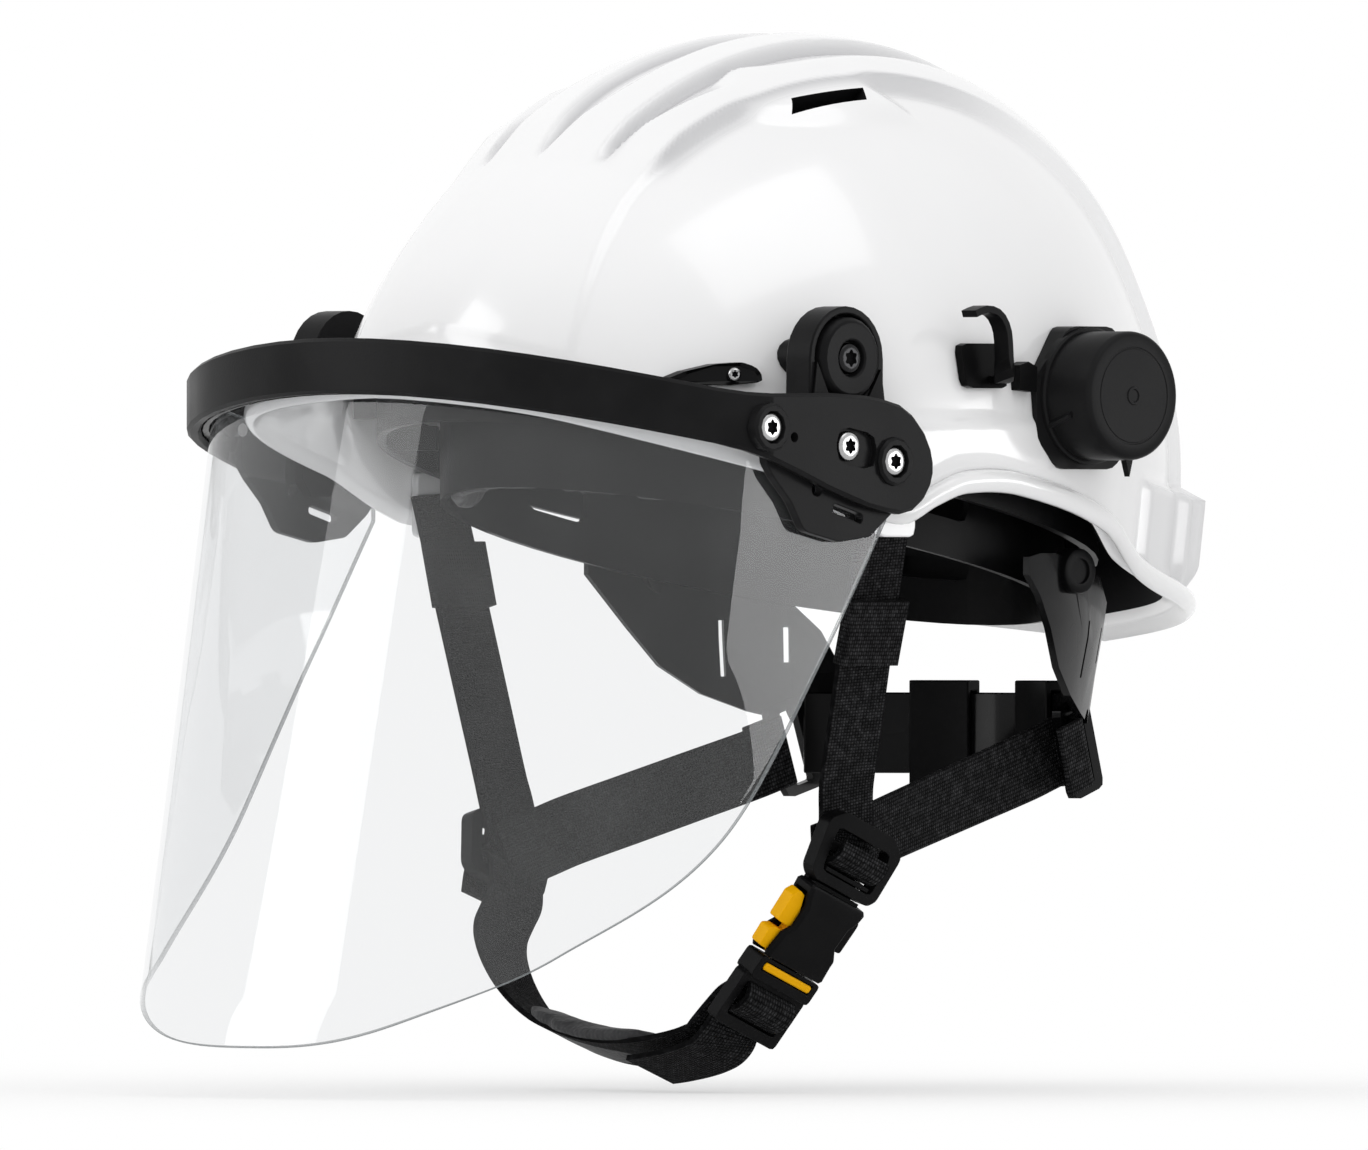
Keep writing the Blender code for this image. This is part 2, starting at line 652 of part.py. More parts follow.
def add_bracket(name, side, shield):
    """Tombstone bracket that turns on the post: a cup round the disc and a foot behind the arm."""
    axis = side_frame(side)
    y, z = PIVOT_Y, PIVOT_Z
    arch = [Vector((y + 14.5 * cos(a), z + 14.5 * sin(a))) for a in [pi * i / 14 for i in range(15)]]
    outline = arch + [Vector((y - 15.5, 6)), Vector((y - 12, 1)), Vector((y - 5, 1)), Vector((y + 14.5, 24))]
    bracket = finish(f"pivot_bracket_{name}", plate(outline, axis, 94.0, 103.4), "black_plastic", shield)
    cup = turned([(98.55, 12.4), (106, 12.4)], (y, z), axis, 28)
    turned([(92, 5.0), (98.7, 5.0)], (y, z), axis, 16, cup)
    boolean(bracket, cutter(f"bracket_cup_{name}", cup), "DIFFERENCE")
    relief = plate([(y - 30, -10), (y + 30, -10), (y + 30, 26.5), (y - 30, 26.5)], axis, 100.4, 110)
    plate([(y - 30, -10), (y + 30, -10), (y + 30, 14), (y - 30, 14)], axis, 90, 97, relief)
    boolean(bracket, cutter(f"bracket_relief_{name}", relief), "DIFFERENCE")
    return bracket


def add_arm_screw(name, side, spot, shield):
    axis = side_frame(side)
    face = 109.9 if spot == "middle" else 111.2
    seat = 108.5 if spot == "middle" else 109.7
    profile = [(99.2, 1.9), (seat, 1.9), (seat, 4.2), (face - 0.5, 4.2), (face, 3.7)]
    bm = turned(profile, ARM_SCREWS[spot], axis, 10)
    return finish(f"arm_screw_{spot}_{name}", bm, "bright_steel", shield)


def add_shield():
    """Everything that swings on the two pivots."""
    shield = bpy.data.objects.new("shield_pivot", None)
    shield.location = (0, PIVOT_Y * MM, PIVOT_Z * MM)
    bpy.context.scene.collection.objects.link(shield)
    bpy.context.view_layer.update()
    holes = add_screw_holes()
    carrier = add_carrier(shield)
    lens = add_lens(shield)
    add_gasket(shield)
    for name, side in SIDES.items():
        clamp = add_clamp(name, side, shield)
        bracket = add_bracket(name, side, shield)
        for item in (carrier, lens, clamp, bracket):
            boolean(item, holes[name], "DIFFERENCE")
        for spot in ARM_SCREWS:
            add_arm_screw(name, side, spot, shield)


def ring_point(half_width, half_length, angle):
    return Vector((half_width * sin(radians(angle)), -half_length * cos(radians(angle))))


def ring_out(half_width, half_length, angle):
    return Vector((sin(radians(angle)) / half_width, -cos(radians(angle)) / half_length)).normalized()


def hoop(half_width, half_length, centre, thickness, height, middle, angles, closed=True):
    """Upright band round an oval, following a sloping middle line."""
    rings = []
    for angle in angles:
        point = ring_point(half_width, half_length, angle) + Vector((0, centre))
        out = ring_out(half_width, half_length, angle) * thickness / 2
        z = middle(point.y)
        low, high = z - height / 2, z + height / 2
        near, far = point - out, point + out
        rings.append([(*near, low), (*far, low), (*far, high), (*near, high)])
    return loft(rings, closed=closed)


def cradle_middle(y):
    return 5 + WORN_SLOPE * y


def headband_middle(y):
    return -4 + WORN_SLOPE * y


def radial_block(start, out, near, far, width, low, high):
    """Upright block between two distances from a point along a plan direction."""
    across = Vector((-out.y, out.x)) * width / 2
    plan = [start + out * near - across, start + out * near + across, start + out * far + across]
    plan.append(start + out * far - across)
    return loft([[(p.x, p.y, z) for p in plan] for z in (low, high)])


def reach_to_oval(start, out, half_width, half_length, centre):
    """Distance from a point along a direction out to an oval's outline."""
    a = (out.x / half_width) ** 2 + (out.y / half_length) ** 2
    y = start.y - centre
    b = start.x * out.x / half_width**2 + y * out.y / half_length**2
    c = (start.x / half_width) ** 2 + (y / half_length) ** 2 - 1
    return (sqrt(b * b - a * c) - b) / a


def add_cradle():
    """Ring clipped inside the shell, the crown straps in it and the hangers for the headband."""
    angles = [360 * i / 52 for i in range(52)]
    ring_size = CRADLE_HALF_WIDTH, CRADLE_HALF_LENGTH
    bm = hoop(*ring_size, CRADLE_CENTRE, CRADLE_WALL, CRADLE_HEIGHT, cradle_middle, angles)
    ring = finish("cradle_ring", bm, "black_plastic")
    for number, angle in enumerate((38, 100, 140, -140, -100, -38)):
        start = ring_point(*ring_size, angle) + Vector((0, CRADLE_CENTRE))
        out = ring_out(*ring_size, angle)
        low, high = cradle_middle(start.y) - 1, cradle_middle(start.y) + 6
        share = dome_share(high, -SHELL_WALL)
        sizes = DOME_HALF_WIDTH, dome_length(high, start.y > dome_lean(high))
        wall = [(size - SHELL_WALL) * share for size in sizes]
        far = reach_to_oval(start, out, *wall, dome_lean((low + high) / 2)) - CLIP_GAP
        clip = radial_block(start, out, 0.5, far, 14, low, high)
        boolean(ring, cutter(f"cradle_clip_{number}", clip), "UNION")
    for name, angle in {"front_left": 40, "front_right": -40, "rear_left": 152, "rear_right": -152}.items():
        start = ring_point(HEADBAND_HALF_WIDTH, HEADBAND_HALF_LENGTH, angle)
        out = ring_out(HEADBAND_HALF_WIDTH, HEADBAND_HALF_LENGTH, angle)
        inside = [size - CRADLE_WALL / 2 for size in ring_size]
        far = reach_to_oval(start, out, *inside, CRADLE_CENTRE) - 0.7
        z = cradle_middle(start.y)
        bm = radial_block(start, out, 1.35, far, 12, z - 6, z + 1)
        finish(f"hanger_{name}", bm, "black_plastic")
    lap = CRADLE_WALL / 2 + 0.7 + SEAT_GAP
    long_reach = CRADLE_HALF_LENGTH - lap - 0.9
    cross_reach = CRADLE_HALF_WIDTH - lap - 0.5
    ends = {
        "crown_strap_long": ((0, CRADLE_CENTRE - long_reach), (0, CRADLE_CENTRE + long_reach), 97),
        "crown_strap_cross": ((-cross_reach, CRADLE_CENTRE), (cross_reach, CRADLE_CENTRE), 93),
    }
    for name, (start, end, top) in ends.items():
        start = Vector((*start, cradle_middle(start[1]) + 3))
        end = Vector((*end, cradle_middle(end[1]) + 3))
        count = 17
        path = []
        for i in range(count):
            t = pi * i / (count - 1)
            foot = start.lerp(end, (1 - cos(t)) / 2)
            path.append(Vector((foot.x, foot.y, mixed(foot.z, top, sin(t) ** 0.9))))
        wide = Vector((1, 0, 0)) if name.endswith("long") else Vector((0, 1, 0))
        finish(name, ribbon(path, [wide] * count, 22, 1.4), "webbing")


def add_headband():
    """Slotted band round the head and the sweatband inside its front."""
    angles = [360 * i / 52 for i in range(52)]
    bm = hoop(HEADBAND_HALF_WIDTH, HEADBAND_HALF_LENGTH, 0, 2.0, HEADBAND_HEIGHT, headband_middle, angles)
    headband = finish("headband", bm, "black_plastic")
    slots = {"side_left": 88, "side_right": -88, "rear_left": 164, "rear_right": -164}
    for name, angle in slots.items():
        point = ring_point(HEADBAND_HALF_WIDTH, HEADBAND_HALF_LENGTH, angle)
        out = ring_out(HEADBAND_HALF_WIDTH, HEADBAND_HALF_LENGTH, angle)
        along = Vector((-out.y, out.x, WORN_SLOPE * out.x))
        frame = frame_of((point.x, point.y, headband_middle(point.y) + 3.5), along, (0, 0, 1))
        half, tall = (12.0, 4.6) if "side" in name else (12.5, 3.0)
        outline = rounded([(-half, -tall), (half, -tall), (half, tall), (-half, tall)], 2.8, 2)
        boolean(headband, cutter(f"headband_slot_{name}", plate(outline, frame, -6, 6)), "DIFFERENCE")
    rings = []
    count = 23
    for i in range(count):
        angle = mixed(-64, 64, i / (count - 1))
        end = sqrt(max(0.05, 1 - abs(2 * i / (count - 1) - 1) ** 6))
        point = ring_point(HEADBAND_HALF_WIDTH - 1.4, HEADBAND_HALF_LENGTH - 1.4, angle)
        out = ring_out(HEADBAND_HALF_WIDTH, HEADBAND_HALF_LENGTH, angle)
        middle = headband_middle(point.y) + 1
        ring = []
        for k in range(12):
            a = 2 * pi * k / 12
            depth = 2.9 * end * power(cos(a), 0.55) - 3.0
            ring.append((*(point + out * depth), middle + 14.0 * end * power(sin(a), 0.7)))
        rings.append(ring)
    finish("sweatband", loft(rings), "pad_foam")


def nape_point(angle, z, offset):
    """Point on the nape's oval, which narrows downwards, moved outwards by an offset."""
    share = min(max((NAPE_TOP[2] - z) / (NAPE_TOP[2] - NAPE_BOTTOM[2]), 0.0), 1.0)
    size = [mixed(NAPE_TOP[i], NAPE_BOTTOM[i], share) for i in (0, 1)]
    return Vector((*(ring_point(*size, angle) + ring_out(*size, angle) * offset), z))


def lock_frame(side):
    """Frame of the rear strap's lock: first axis on along the strap, second across it, third outwards."""
    seat = mirrored(LOCK_SEAT, side)
    along = (seat - mirrored(LOCK_AIM, side)).normalized()
    up = Vector((0, 0, 1))
    return frame_of(seat, along, up - along * up.dot(along))


def add_nape_arm(name, side, nape):
    """Curved panel on a pin at the headband, with slits and the rear strap's lock at its foot."""
    edges = ((101, -16, -21), (104, -15, -27), (108, -15, -36), (113, -16, -47), (120, -18, -55))
    edges += ((128, -22, -60), (136, -29, -63), (141, -37, -62), (144, -46, -58))
    rings = []
    for angle, high, low in edges:
        heights = [low, mixed(low, high, 0.5), high]
        inner = [nape_point(side * angle, z, 0) for z in reversed(heights)]
        rings.append(inner + [nape_point(side * angle, z, NAPE_ARM_WALL) for z in heights])
    arm = finish(f"nape_arm_{name}", loft(rings), "gloss_black", nape)
    slits = bmesh.new()
    for angle, low, high in ((124, -50, -34), (135, -46, -36)):
        out = ring_out(*NAPE_TOP[:2], side * angle)
        seat = nape_point(side * angle, low, 0)
        frame = frame_of((seat.x, seat.y, 0), (-out.y, out.x, 0), (0, 0, 1))
        plate([(-0.8, low), (0.8, low), (0.8, high), (-0.8, high)], frame, -8, 8, slits)
    boolean(arm, cutter(f"nape_slits_{name}", slits), "DIFFERENCE")

    pin_y, pin_z = NAPE_PIN
    band_x = HEADBAND_HALF_WIDTH * sqrt(1 - (pin_y / HEADBAND_HALF_LENGTH) ** 2)
    arm_x = NAPE_TOP[0] * sqrt(1 - (pin_y / NAPE_TOP[1]) ** 2)
    pin = turned([(band_x + 3.2, 4.0), (arm_x + 1.0, 4.0)], NAPE_PIN, side_frame(side), 14)
    boolean(arm, cutter(f"nape_pin_{name}", pin), "UNION")

    frame = lock_frame(side)
    outline = rounded([(-5, -13.5), (9, -13.5), (9, 13.5), (-5, 13.5)], 2.5, 2)
    boolean(arm, cutter(f"lock_plate_{name}", plate(outline, frame, -1.5, 1.5)), "UNION")
    gap = plate(rounded([(-1, -10.8), (5.2, -10.8), (5.2, 10.8), (-1, 10.8)], 0.8, 2), frame, -5, 5)
    boolean(arm, cutter(f"lock_gap_{name}", gap), "DIFFERENCE")


def add_nape():
    """Nape arms on their pins, the band between them and its two sliders."""
    nape = bpy.data.objects.new("nape_pivot", None)
    nape.location = (0, NAPE_PIN[0] * MM, NAPE_PIN[1] * MM)
    bpy.context.scene.collection.objects.link(nape)
    bpy.context.view_layer.update()
    for name, side in SIDES.items():
        add_nape_arm(name, side, nape)
    size = NAPE_BOTTOM[0] - 2.4, NAPE_BOTTOM[1] - 2.4
    angles = [mixed(138, 222, i / 20) for i in range(21)]
    bm = hoop(*size, 0, 2.0, 23, lambda y: NAPE_BAND_MIDDLE, angles, closed=False)
    finish("nape_band", bm, "gloss_black", nape)
    for name, side in SIDES.items():
        shells = {}
        for kind, reach, depth, half in (("outer", 7, 3.0, 15.0), ("gap", 12, 1.4, 12.0)):
            turns = [mixed(180 - side * 14 - reach, 180 - side * 14 + reach, i / 4) for i in range(5)]
            rings = []
            for turn in turns:
                point, out = ring_point(*size, turn), ring_out(*size, turn)
                corners = [(-depth, -half), (depth, -half), (depth, half), (-depth, half)]
                rings.append([(*(point + out * d), NAPE_BAND_MIDDLE + z) for d, z in corners])
            shells[kind] = loft(rings)
        slider = finish(f"nape_slider_{name}", shells["outer"], "black_plastic", nape)
        boolean(slider, cutter(f"slider_gap_{name}", shells["gap"]), "DIFFERENCE")


def mirrored(vector, side):
    return Vector((side * vector[0], vector[1], vector[2]))


def divider_frame(side):
    """Frame of a divider: first axis to the back, second up, third out on the left and in on the right."""
    return frame_of(
        mirrored(DIVIDER_CENTRE, side), mirrored(DIVIDER_ACROSS, side), mirrored(DIVIDER_UP, side)
    )


def turn_round(frame, bar, toward, radius, start, count=9):
    """Points of a strap's turn round a bar, from the start depth side to the other one."""
    bar, toward = Vector(bar), Vector(toward).normalized()
    points = []
    for k in range(count):
        a = pi * k / (count - 1)
        flat = bar - toward * radius * sin(a)
        points.append(frame @ Vector((flat.x, flat.y, start * radius * cos(a))))
    return points


def add_divider(name, side):
    """Deep rounded frame with one opening, crossed by the bar that the front strap turns round."""
    frame = divider_frame(side)
    half = DIVIDER_WALL / 2
    corners = [(-16.3, 7.5), (-11, 11.2), (10.5, 11.2), (16.3, 7.5)]
    corners += [(14, -7), (11.5, -9.4), (-12, -9.4), (-14.8, -7)]
    bm = plate(rounded(corners, 3.5, 3), frame, -half, half)
    divider = finish(f"divider_{name}", bm, "black_plastic")
    opening = plate(rounded([(-11, -6.4), (11, -6.4), (12, 6.6), (-12, 6.6)], 2, 2), frame, -6, 6)
    boolean(divider, cutter(f"divider_opening_{name}", opening), "DIFFERENCE")
    low, high = DIVIDER_BAR - 1.4, DIVIDER_BAR + 1.4
    bar = plate([(-13, low), (13, low), (13, high), (-13, high)], frame, -1.4, 1.4)
    boolean(divider, cutter(f"divider_bar_{name}", bar), "UNION")


def add_front_strap(name, side):
    """Anchor under the shell, the strap down to the divider and the keeper on it."""
    top = mirrored(STRAP_TOP, side)
    y, z = top.y, top.z
    axis = side_frame(side)
    bm = plate(rounded([(y - 8, -10.5), (y + 6, -10.5), (y + 6, 8), (y - 8, 8)], 2, 2), axis, 90.6, 93.2)
    anchor = finish(f"strap_anchor_{name}", bm, "shell_white")
    stud = plate([(y - 3, 1), (y + 4, 1), (y + 4, 6), (y - 3, 6)], axis, 92, 94.4)
    boolean(anchor, cutter(f"anchor_stud_{name}", stud), "UNION")

    frame = divider_frame(side)
    leads = ((-7.5, 19, -5.0), (-3, 11, -4.4), (-0.5, 6, -3.9))
    lean = [frame @ Vector((a, b, side * depth)) for a, b, depth in leads]
    wrap = turn_round(frame, (0, DIVIDER_BAR), (0, 1), 3.0, -side)
    tail = frame @ Vector((0, DIVIDER_BAR + 2.2, side * 2.9))
    run = [top.lerp(lean[0], i / 5) for i in range(5)]
    route = run + lean + wrap + [tail]
    tilted = frame.to_3x3() @ Vector((1, 0, 0))
    wide = [Vector((0, 1, 0)).lerp(tilted, eased((i - 2) / 5)) for i in range(len(route))]
    finish(f"front_strap_{name}", ribbon(route, wide, WEBBING_WIDTH, WEBBING), "webbing")

    share = (top.z - KEEPER_HEIGHT[name]) / (top.z - lean[0].z)
    sleeve = frame_of(top.lerp(lean[0], share), (0, 1, 0), (lean[0] - top).cross(Vector((0, 1, 0))))
    outline = rounded([(-13, -3.8), (13, -3.8), (13, 3.8), (-13, 3.8)], 2.0, 2)
    keeper = finish(f"strap_keeper_{name}", plate(outline, sleeve, -9.2, 9.2), "webbing")
    gap = plate([(-11.4, -1.7), (11.4, -1.7), (11.4, 1.7), (-11.4, 1.7)], sleeve, -12, 12)
    boolean(keeper, cutter(f"keeper_gap_{name}", gap), "DIFFERENCE")


def add_rear_strap(name, side):
    """Strap from behind the divider back and up to the lock on the nape arm."""
    frame, lock = divider_frame(side), lock_frame(side)
    leads = ((-5, -3.8, -7.2), (9, 6.8, -7.4), (17, 12.8, -8.6))
    near = [frame @ Vector((a, b, side * depth)) for a, b, depth in leads]
    out_sign = 1 if (lock.to_3x3() @ Vector((0, 0, 1))).x * side > 0 else -1
    wrap = turn_round(lock, (-3, 0), (-1, 0), 3.7, -out_sign)
    approach = lock @ Vector((-14, 0, -out_sign * 3.9))
    tail = lock @ Vector((-12, 0, out_sign * 3.7))
    run = [near[-1].lerp(approach, i / 3) for i in range(1, 4)]
    route = near + run + wrap + [tail]
    start = frame.to_3x3() @ Vector((-0.603, 0.797, 0))
    end = lock.to_3x3() @ Vector((0, 1, 0))
    wide = [start.lerp(end, eased((i - 1) / 5)) for i in range(len(route))]
    finish(f"rear_strap_{name}", ribbon(route, wide, WEBBING_WIDTH, WEBBING), "webbing")


def buckle_frame():
    """Frame of the buckle: first axis across the strap, second back up to the divider, third outwards."""
    return frame_of(BUCKLE_HEAD, DIVIDER_ACROSS, BUCKLE_UP)


def box_outline(half_width, start, end):
    """Rectangle between two distances down from the divider."""
    return [(-half_width, -end), (half_width, -end), (half_width, -start), (-half_width, -start)]


def add_socket():
    """Waisted shell hooked on the divider's lower bar, open at both sides for the prongs."""
    frame = buckle_frame()
    rings = []
    stations = ((10.5, 11.5, 3.8), (11.5, 12, 4.4), (14, 11.4, 4.6), (17, 9.7, 4.6), (23.5, 9.5, 4.6))
    stations += ((26.5, 11.8, 4.6), (33.2, 12.5, 4.6), (34.2, 12.1, 4.2))
    for down, wide, deep in stations:
        cut = 1.0
        ring = [(-wide, cut - deep), (cut - wide, -deep), (wide - cut, -deep), (wide, cut - deep)]
        ring += [(wide, deep - cut), (wide - cut, deep), (cut - wide, deep), (-wide, deep - cut)]
        rings.append([frame @ Vector((a, -down, depth)) for a, depth in ring])
    socket = finish("buckle_socket", loft(rings), "black_plastic")
    hook = plate(box_outline(9.5, 4.4, 13), frame, -4.2, 1.6)
    boolean(socket, cutter("socket_hook", hook), "UNION")
    half = DIVIDER_WALL / 2 + 0.4
    channel = plate([(-40, -9.8), (40, -9.8), (40, -6.0), (-40, -6.0)], divider_frame(LEFT), -half, half)
    boolean(socket, cutter("socket_hook_channel", channel), "DIFFERENCE")
    boolean(socket, cutter("socket_pocket", plate(box_outline(16, 13.2, 36), frame, -2.6, 2.6)), "DIFFERENCE")


def add_plug():
    """Tongue, collar and ladder lock in one, with the yellow bar in the collar's face."""
    frame = buckle_frame()
    body = [(-2, -15), (2, -15), (2, -34.6), (12.4, -34.6), (12.4, -40), (13.4, -42)]
    body += [(13.4, -57.2), (-13.4, -57.2), (-13.4, -42), (-12.4, -40), (-12.4, -34.6), (-2, -34.6)]
    plug = finish("buckle_plug", plate(rounded(body, 1.5, 2), frame, -2.2, 2.2), "black_plastic")
    collar = plate(rounded(box_outline(12.8, 34.6, 41.4), 1.2, 2), frame, -3.6, 3.9)
    boolean(plug, cutter("plug_collar", collar), "UNION")
    groove = plate(box_outline(10.6, 35.6, 38.6), frame, 2.6, 6)
    boolean(plug, cutter("plug_groove", groove), "DIFFERENCE")
    opening = plate(rounded(box_outline(10.7, 43, 54), 1, 2), frame, -5, 5)
    boolean(plug, cutter("plug_opening", opening), "DIFFERENCE")
    bar = plate(box_outline(12, PLUG_BAR - 1.4, PLUG_BAR + 1.4), frame, -1.4, 1.4)
    boolean(plug, cutter("plug_bar", bar), "UNION")
    yellow = plate(rounded(box_outline(10.2, 36, 38.2), 0.6, 2), frame, 3.0, 4.2)
    finish("buckle_bar", yellow, "release_yellow")


def add_prong(name, side, reach, material):
    """Sprung prong of the plug: an arm in the socket with a long and a short finger pad outside it."""
    corners = [(4.6, -34.2), (8.2, -34.2), (8.4, -33), (15, -32.8), (15.4, -27.2), (13, -26.2), (8.2, -26.4)]
    corners += [(8.4, -24.6), (14.6, -24.2), (15, -16), (13.4, -13.9), (11, -14.6), (8.2, -21), (4.6, -25)]
    outline = rounded([(side * min(a, reach), b) for a, b in corners], 0.8, 2)
    return finish(f"release_prong_{name}", plate(outline, buckle_frame(), -2.1, 2.1), material)


def chin_point(x, z):
    """Point of the chin strap's slanting plane below the dividers."""
    return Vector((x, DIVIDER_CENTRE[1] + CHIN_TILT * (z - DIVIDER_CENTRE[2]), z))


def chin_route():
    """Middle line of the chin strap from behind the plug to below the right divider."""
    frame, divider = buckle_frame(), divider_frame(RIGHT)
    start = frame @ Vector((0, -50.5, -4.6))
    leave = frame @ Vector((0, -57.5, -5.9))
    end = divider @ Vector((0, -14, 4.2))
    return smooth_path([start, leave, *[chin_point(x, z) for x, z in CHIN_ROUTE], end], 30)


def chin_across(point):
    return Vector((DIVIDER_ACROSS[0] * point.x / DIVIDER_CENTRE[0], *DIVIDER_ACROSS[1:]))


def add_chin_strap():
    """Strap round both bars with its loose tail under the plug's end, and the pad on its inner side."""
    frame, divider = buckle_frame(), divider_frame(RIGHT)
    middle = chin_route()
    over_bar = turn_round(frame, (0, -PLUG_BAR), (0, -1), 3.1, -1)
    tucks = ((49.6, 2.4), (51.2, 0.6), (52.2, -2.0), (54.6, -4.1))
    tuck = [frame @ Vector((0, -b, depth)) for b, depth in tucks]
    tail = []
    for i in range(2, 9):
        along = (middle[i + 1] - middle[i - 1]).normalized()
        outward = along.cross(chin_across(middle[i])).normalized()
        outward = outward if outward.z < 0 else -outward
        tail.append(middle[i] + outward * 2.2)
    far_bar = turn_round(divider, (0, -7.9), (0, -1), 3.8, 1)
    far_tail = divider @ Vector((0, -13, -4.0))
    route = tail[::-1] + tuck[::-1] + over_bar[::-1] + middle + far_bar + [far_tail]
    wide = [chin_across(p) for p in route]
    finish("chin_strap", ribbon(route, wide, WEBBING_WIDTH, WEBBING), "webbing")

    inside = [p for p in middle if CHIN_PAD_REACH[0] < p.x < CHIN_PAD_REACH[1]]
    rings = []
    for i, point in enumerate(inside):
        after, before = inside[min(i + 1, len(inside) - 1)], inside[max(i - 1, 0)]
        along = (after - before).normalized()
        across = chin_across(point)
        inward = along.cross(across).normalized()
        inward = inward if inward.z > 0 else -inward
        swell = sqrt(max(0.06, 1 - abs(2 * i / (len(inside) - 1) - 1) ** 5))
        centre = point + inward * (WEBBING / 2 + SEAT_GAP + CHIN_PAD_HALF_DEPTH)
        ring = []
        for k in range(12):
            a = 2 * pi * k / 12
            wide = across * CHIN_PAD_HALF_WIDTH * swell * power(cos(a), 0.7)
            ring.append(centre + wide + inward * CHIN_PAD_HALF_DEPTH * swell * power(sin(a), 0.6))
        rings.append(ring)
    finish("chin_pad", loft(rings), "pad_foam")


def build():
    add_shell()
    for name, side in SIDES.items():
        add_slot_cover(name, side)
        add_pivot(name, side)
        add_lamp_hook(name, side)
        add_housing(name, side)
    add_shield()
    add_cradle()
    add_headband()
    add_nape()
    for name, side in SIDES.items():
        add_divider(name, side)
        add_front_strap(name, side)
        add_rear_strap(name, side)
    add_socket()
    add_plug()
    add_prong("front", -1, 15.4, "release_yellow")
    add_prong("rear", 1, 13.6, "black_plastic")
    add_chin_strap()


clear_scene()
MATERIALS = make_materials()
build()
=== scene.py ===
"""Dressed hard hat: fine shell, lens, webbing, pads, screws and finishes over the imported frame.

Lengths named here are millimetres, and a mesh is scaled to metres when it is finished.
+Z is up as worn, -Y is the front and +X is the wearer's left.
"""

import json
from math import atan2, cos, degrees, pi, radians, sin, sqrt

import bmesh
import bpy
from mathutils import Matrix, Vector


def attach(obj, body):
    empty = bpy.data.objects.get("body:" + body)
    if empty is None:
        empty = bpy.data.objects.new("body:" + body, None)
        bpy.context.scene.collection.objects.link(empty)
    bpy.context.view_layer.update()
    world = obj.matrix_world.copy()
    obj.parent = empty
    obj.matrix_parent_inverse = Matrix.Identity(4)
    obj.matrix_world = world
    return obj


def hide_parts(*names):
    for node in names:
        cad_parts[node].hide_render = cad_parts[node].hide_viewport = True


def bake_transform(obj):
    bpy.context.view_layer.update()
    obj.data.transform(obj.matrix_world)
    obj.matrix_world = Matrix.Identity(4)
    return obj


MM = 0.001
MERGE_DISTANCE = 1e-3
SHARP_ANGLE = 38
SIDES = {"left": 1, "right": -1}

# Shell, as in the part's source
DOME_HALF_WIDTH = 100.5
DOME_HALF_LENGTH = 127.5
DOME_EQUATOR = 14.0
CROWN_HEIGHT = 128.5
DOME_RISE = CROWN_HEIGHT - DOME_EQUATOR
DOME_LEAN = 0.15
DOME_CENTRE = -9.0
REAR_SWELL = 16.0
REAR_SWELL_TOP = 68.0
REAR_SWELL_DROP = 72.0
SHELL_WALL = 3.0
RIM_HALF_WIDTH = 102.0
PEAK_REACH = 151.0
BRIM_REACH = 144.0
PEAK_SQUARENESS = 1.25
RIM_BEAD = 6.5
RIM_CONTOUR = (
    (0, 28), (30, 21), (60, 7), (71, -4), (76, -7), (80, -2), (84, 1.5),
    (92, 1), (108, -9), (116, -22), (130, -29), (150, -34), (180, -40),
)
RIM_INSET = 1.9
BEAD_SWELL = 2.7
UNDER_INSET = 4.2
FLARE_HEIGHT = 5.0
FLARE_GROWTH = 9.0
VENT_CENTRE = (48.5, -21.0, 110.0)
VENT_OUT = (0.74, 0.0, 0.67)
VENT_SLOT = (25.0, 5.6, 26.0)
VENT_SLANT = 3.0
VENT_SINK = 3.0

# Shell relief. Turns are degrees over the crown, and plan angles are degrees from the front
CROWN_BAND_RISE = 3.6
BAND_REAR_HALF = 58.0
BAND_FRONT_HALF = 37.0
BROW_LINE = 136.0
BROW_RISE = 1.4
GROOVE_SPAN = 78.0
CHANNEL_DEPTH = 3.2
STEP_LINE = 22.8
STEP_WALL = 3.6
STEP_DEPTH = 4.2
VENT_PAD_EDGE = 25.0
VENT_PAD_RISE = 2.8
BLOCK_START = 123.0
BLOCK_TOP = 7.0
BLOCK_SLOPE = 0.16
BLOCK_RISE = 2.6
BLOCK_PANEL_START = 138.5
BLOCK_PANEL_RISE = 4.6
# Share of the painted shade, with its duller gloss, that the rear block gets
BLOCK_PAINTED_SHADE = 0.4
EAR_RIDGE_RISE = 1.7

# Shell mesh and the dark lining of its inside, which at the back reaches onto the brim's underside as
# painted shade
SHELL_COLUMNS = 480
BARE_RINGS = 6
# Rings into the brim's underside at the back where the painted shade begins
UNDER_RINGS_BEFORE_SHADE = 4
EAR_LINE = -0.15

# Face shield, as in the part's source
PIVOT = (-67.0, 39.0)
CARRIER_HALF_WIDTH = 108.0
CARRIER_DEPTH = 65.0
CARRIER_CORNER_Y = -98.0
CARRIER_SQUARENESS = 1.9
ARM_END = (-55.0, 11.5)
ARM_SLOPE = 0.18
BAND_CURL = 0.0018
BAND_CURL_Y = -105.0
LENS_OFFSET = -6.5
LENS_LAP = 3.5
LENS_THICKNESS = 1.5
LENS_FRONT_REACH = 149.0
LENS_LOW_HALF_WIDTH = 92.0
LENS_REAR_Y = -50.0
LENS_SQUARENESS = 2.8
LENS_GRID = (256, 14)
LENS_POLISH = 0.45
LENS_EDGE = ((-199, -152), (-184, -142), (-155, -127), (-111, -96), (-75, -45), (-50, -6))
HOUSING = (31.0, 29.0)
COVER_SCREW = (-84.5, 34.6)
NAPE_PIN = (44.0, -20.0)
ARM_SCREWS = {"front": (-104.0, 19.7), "middle": (-72.0, 14.6), "rear": (-55.4, 10.4)}

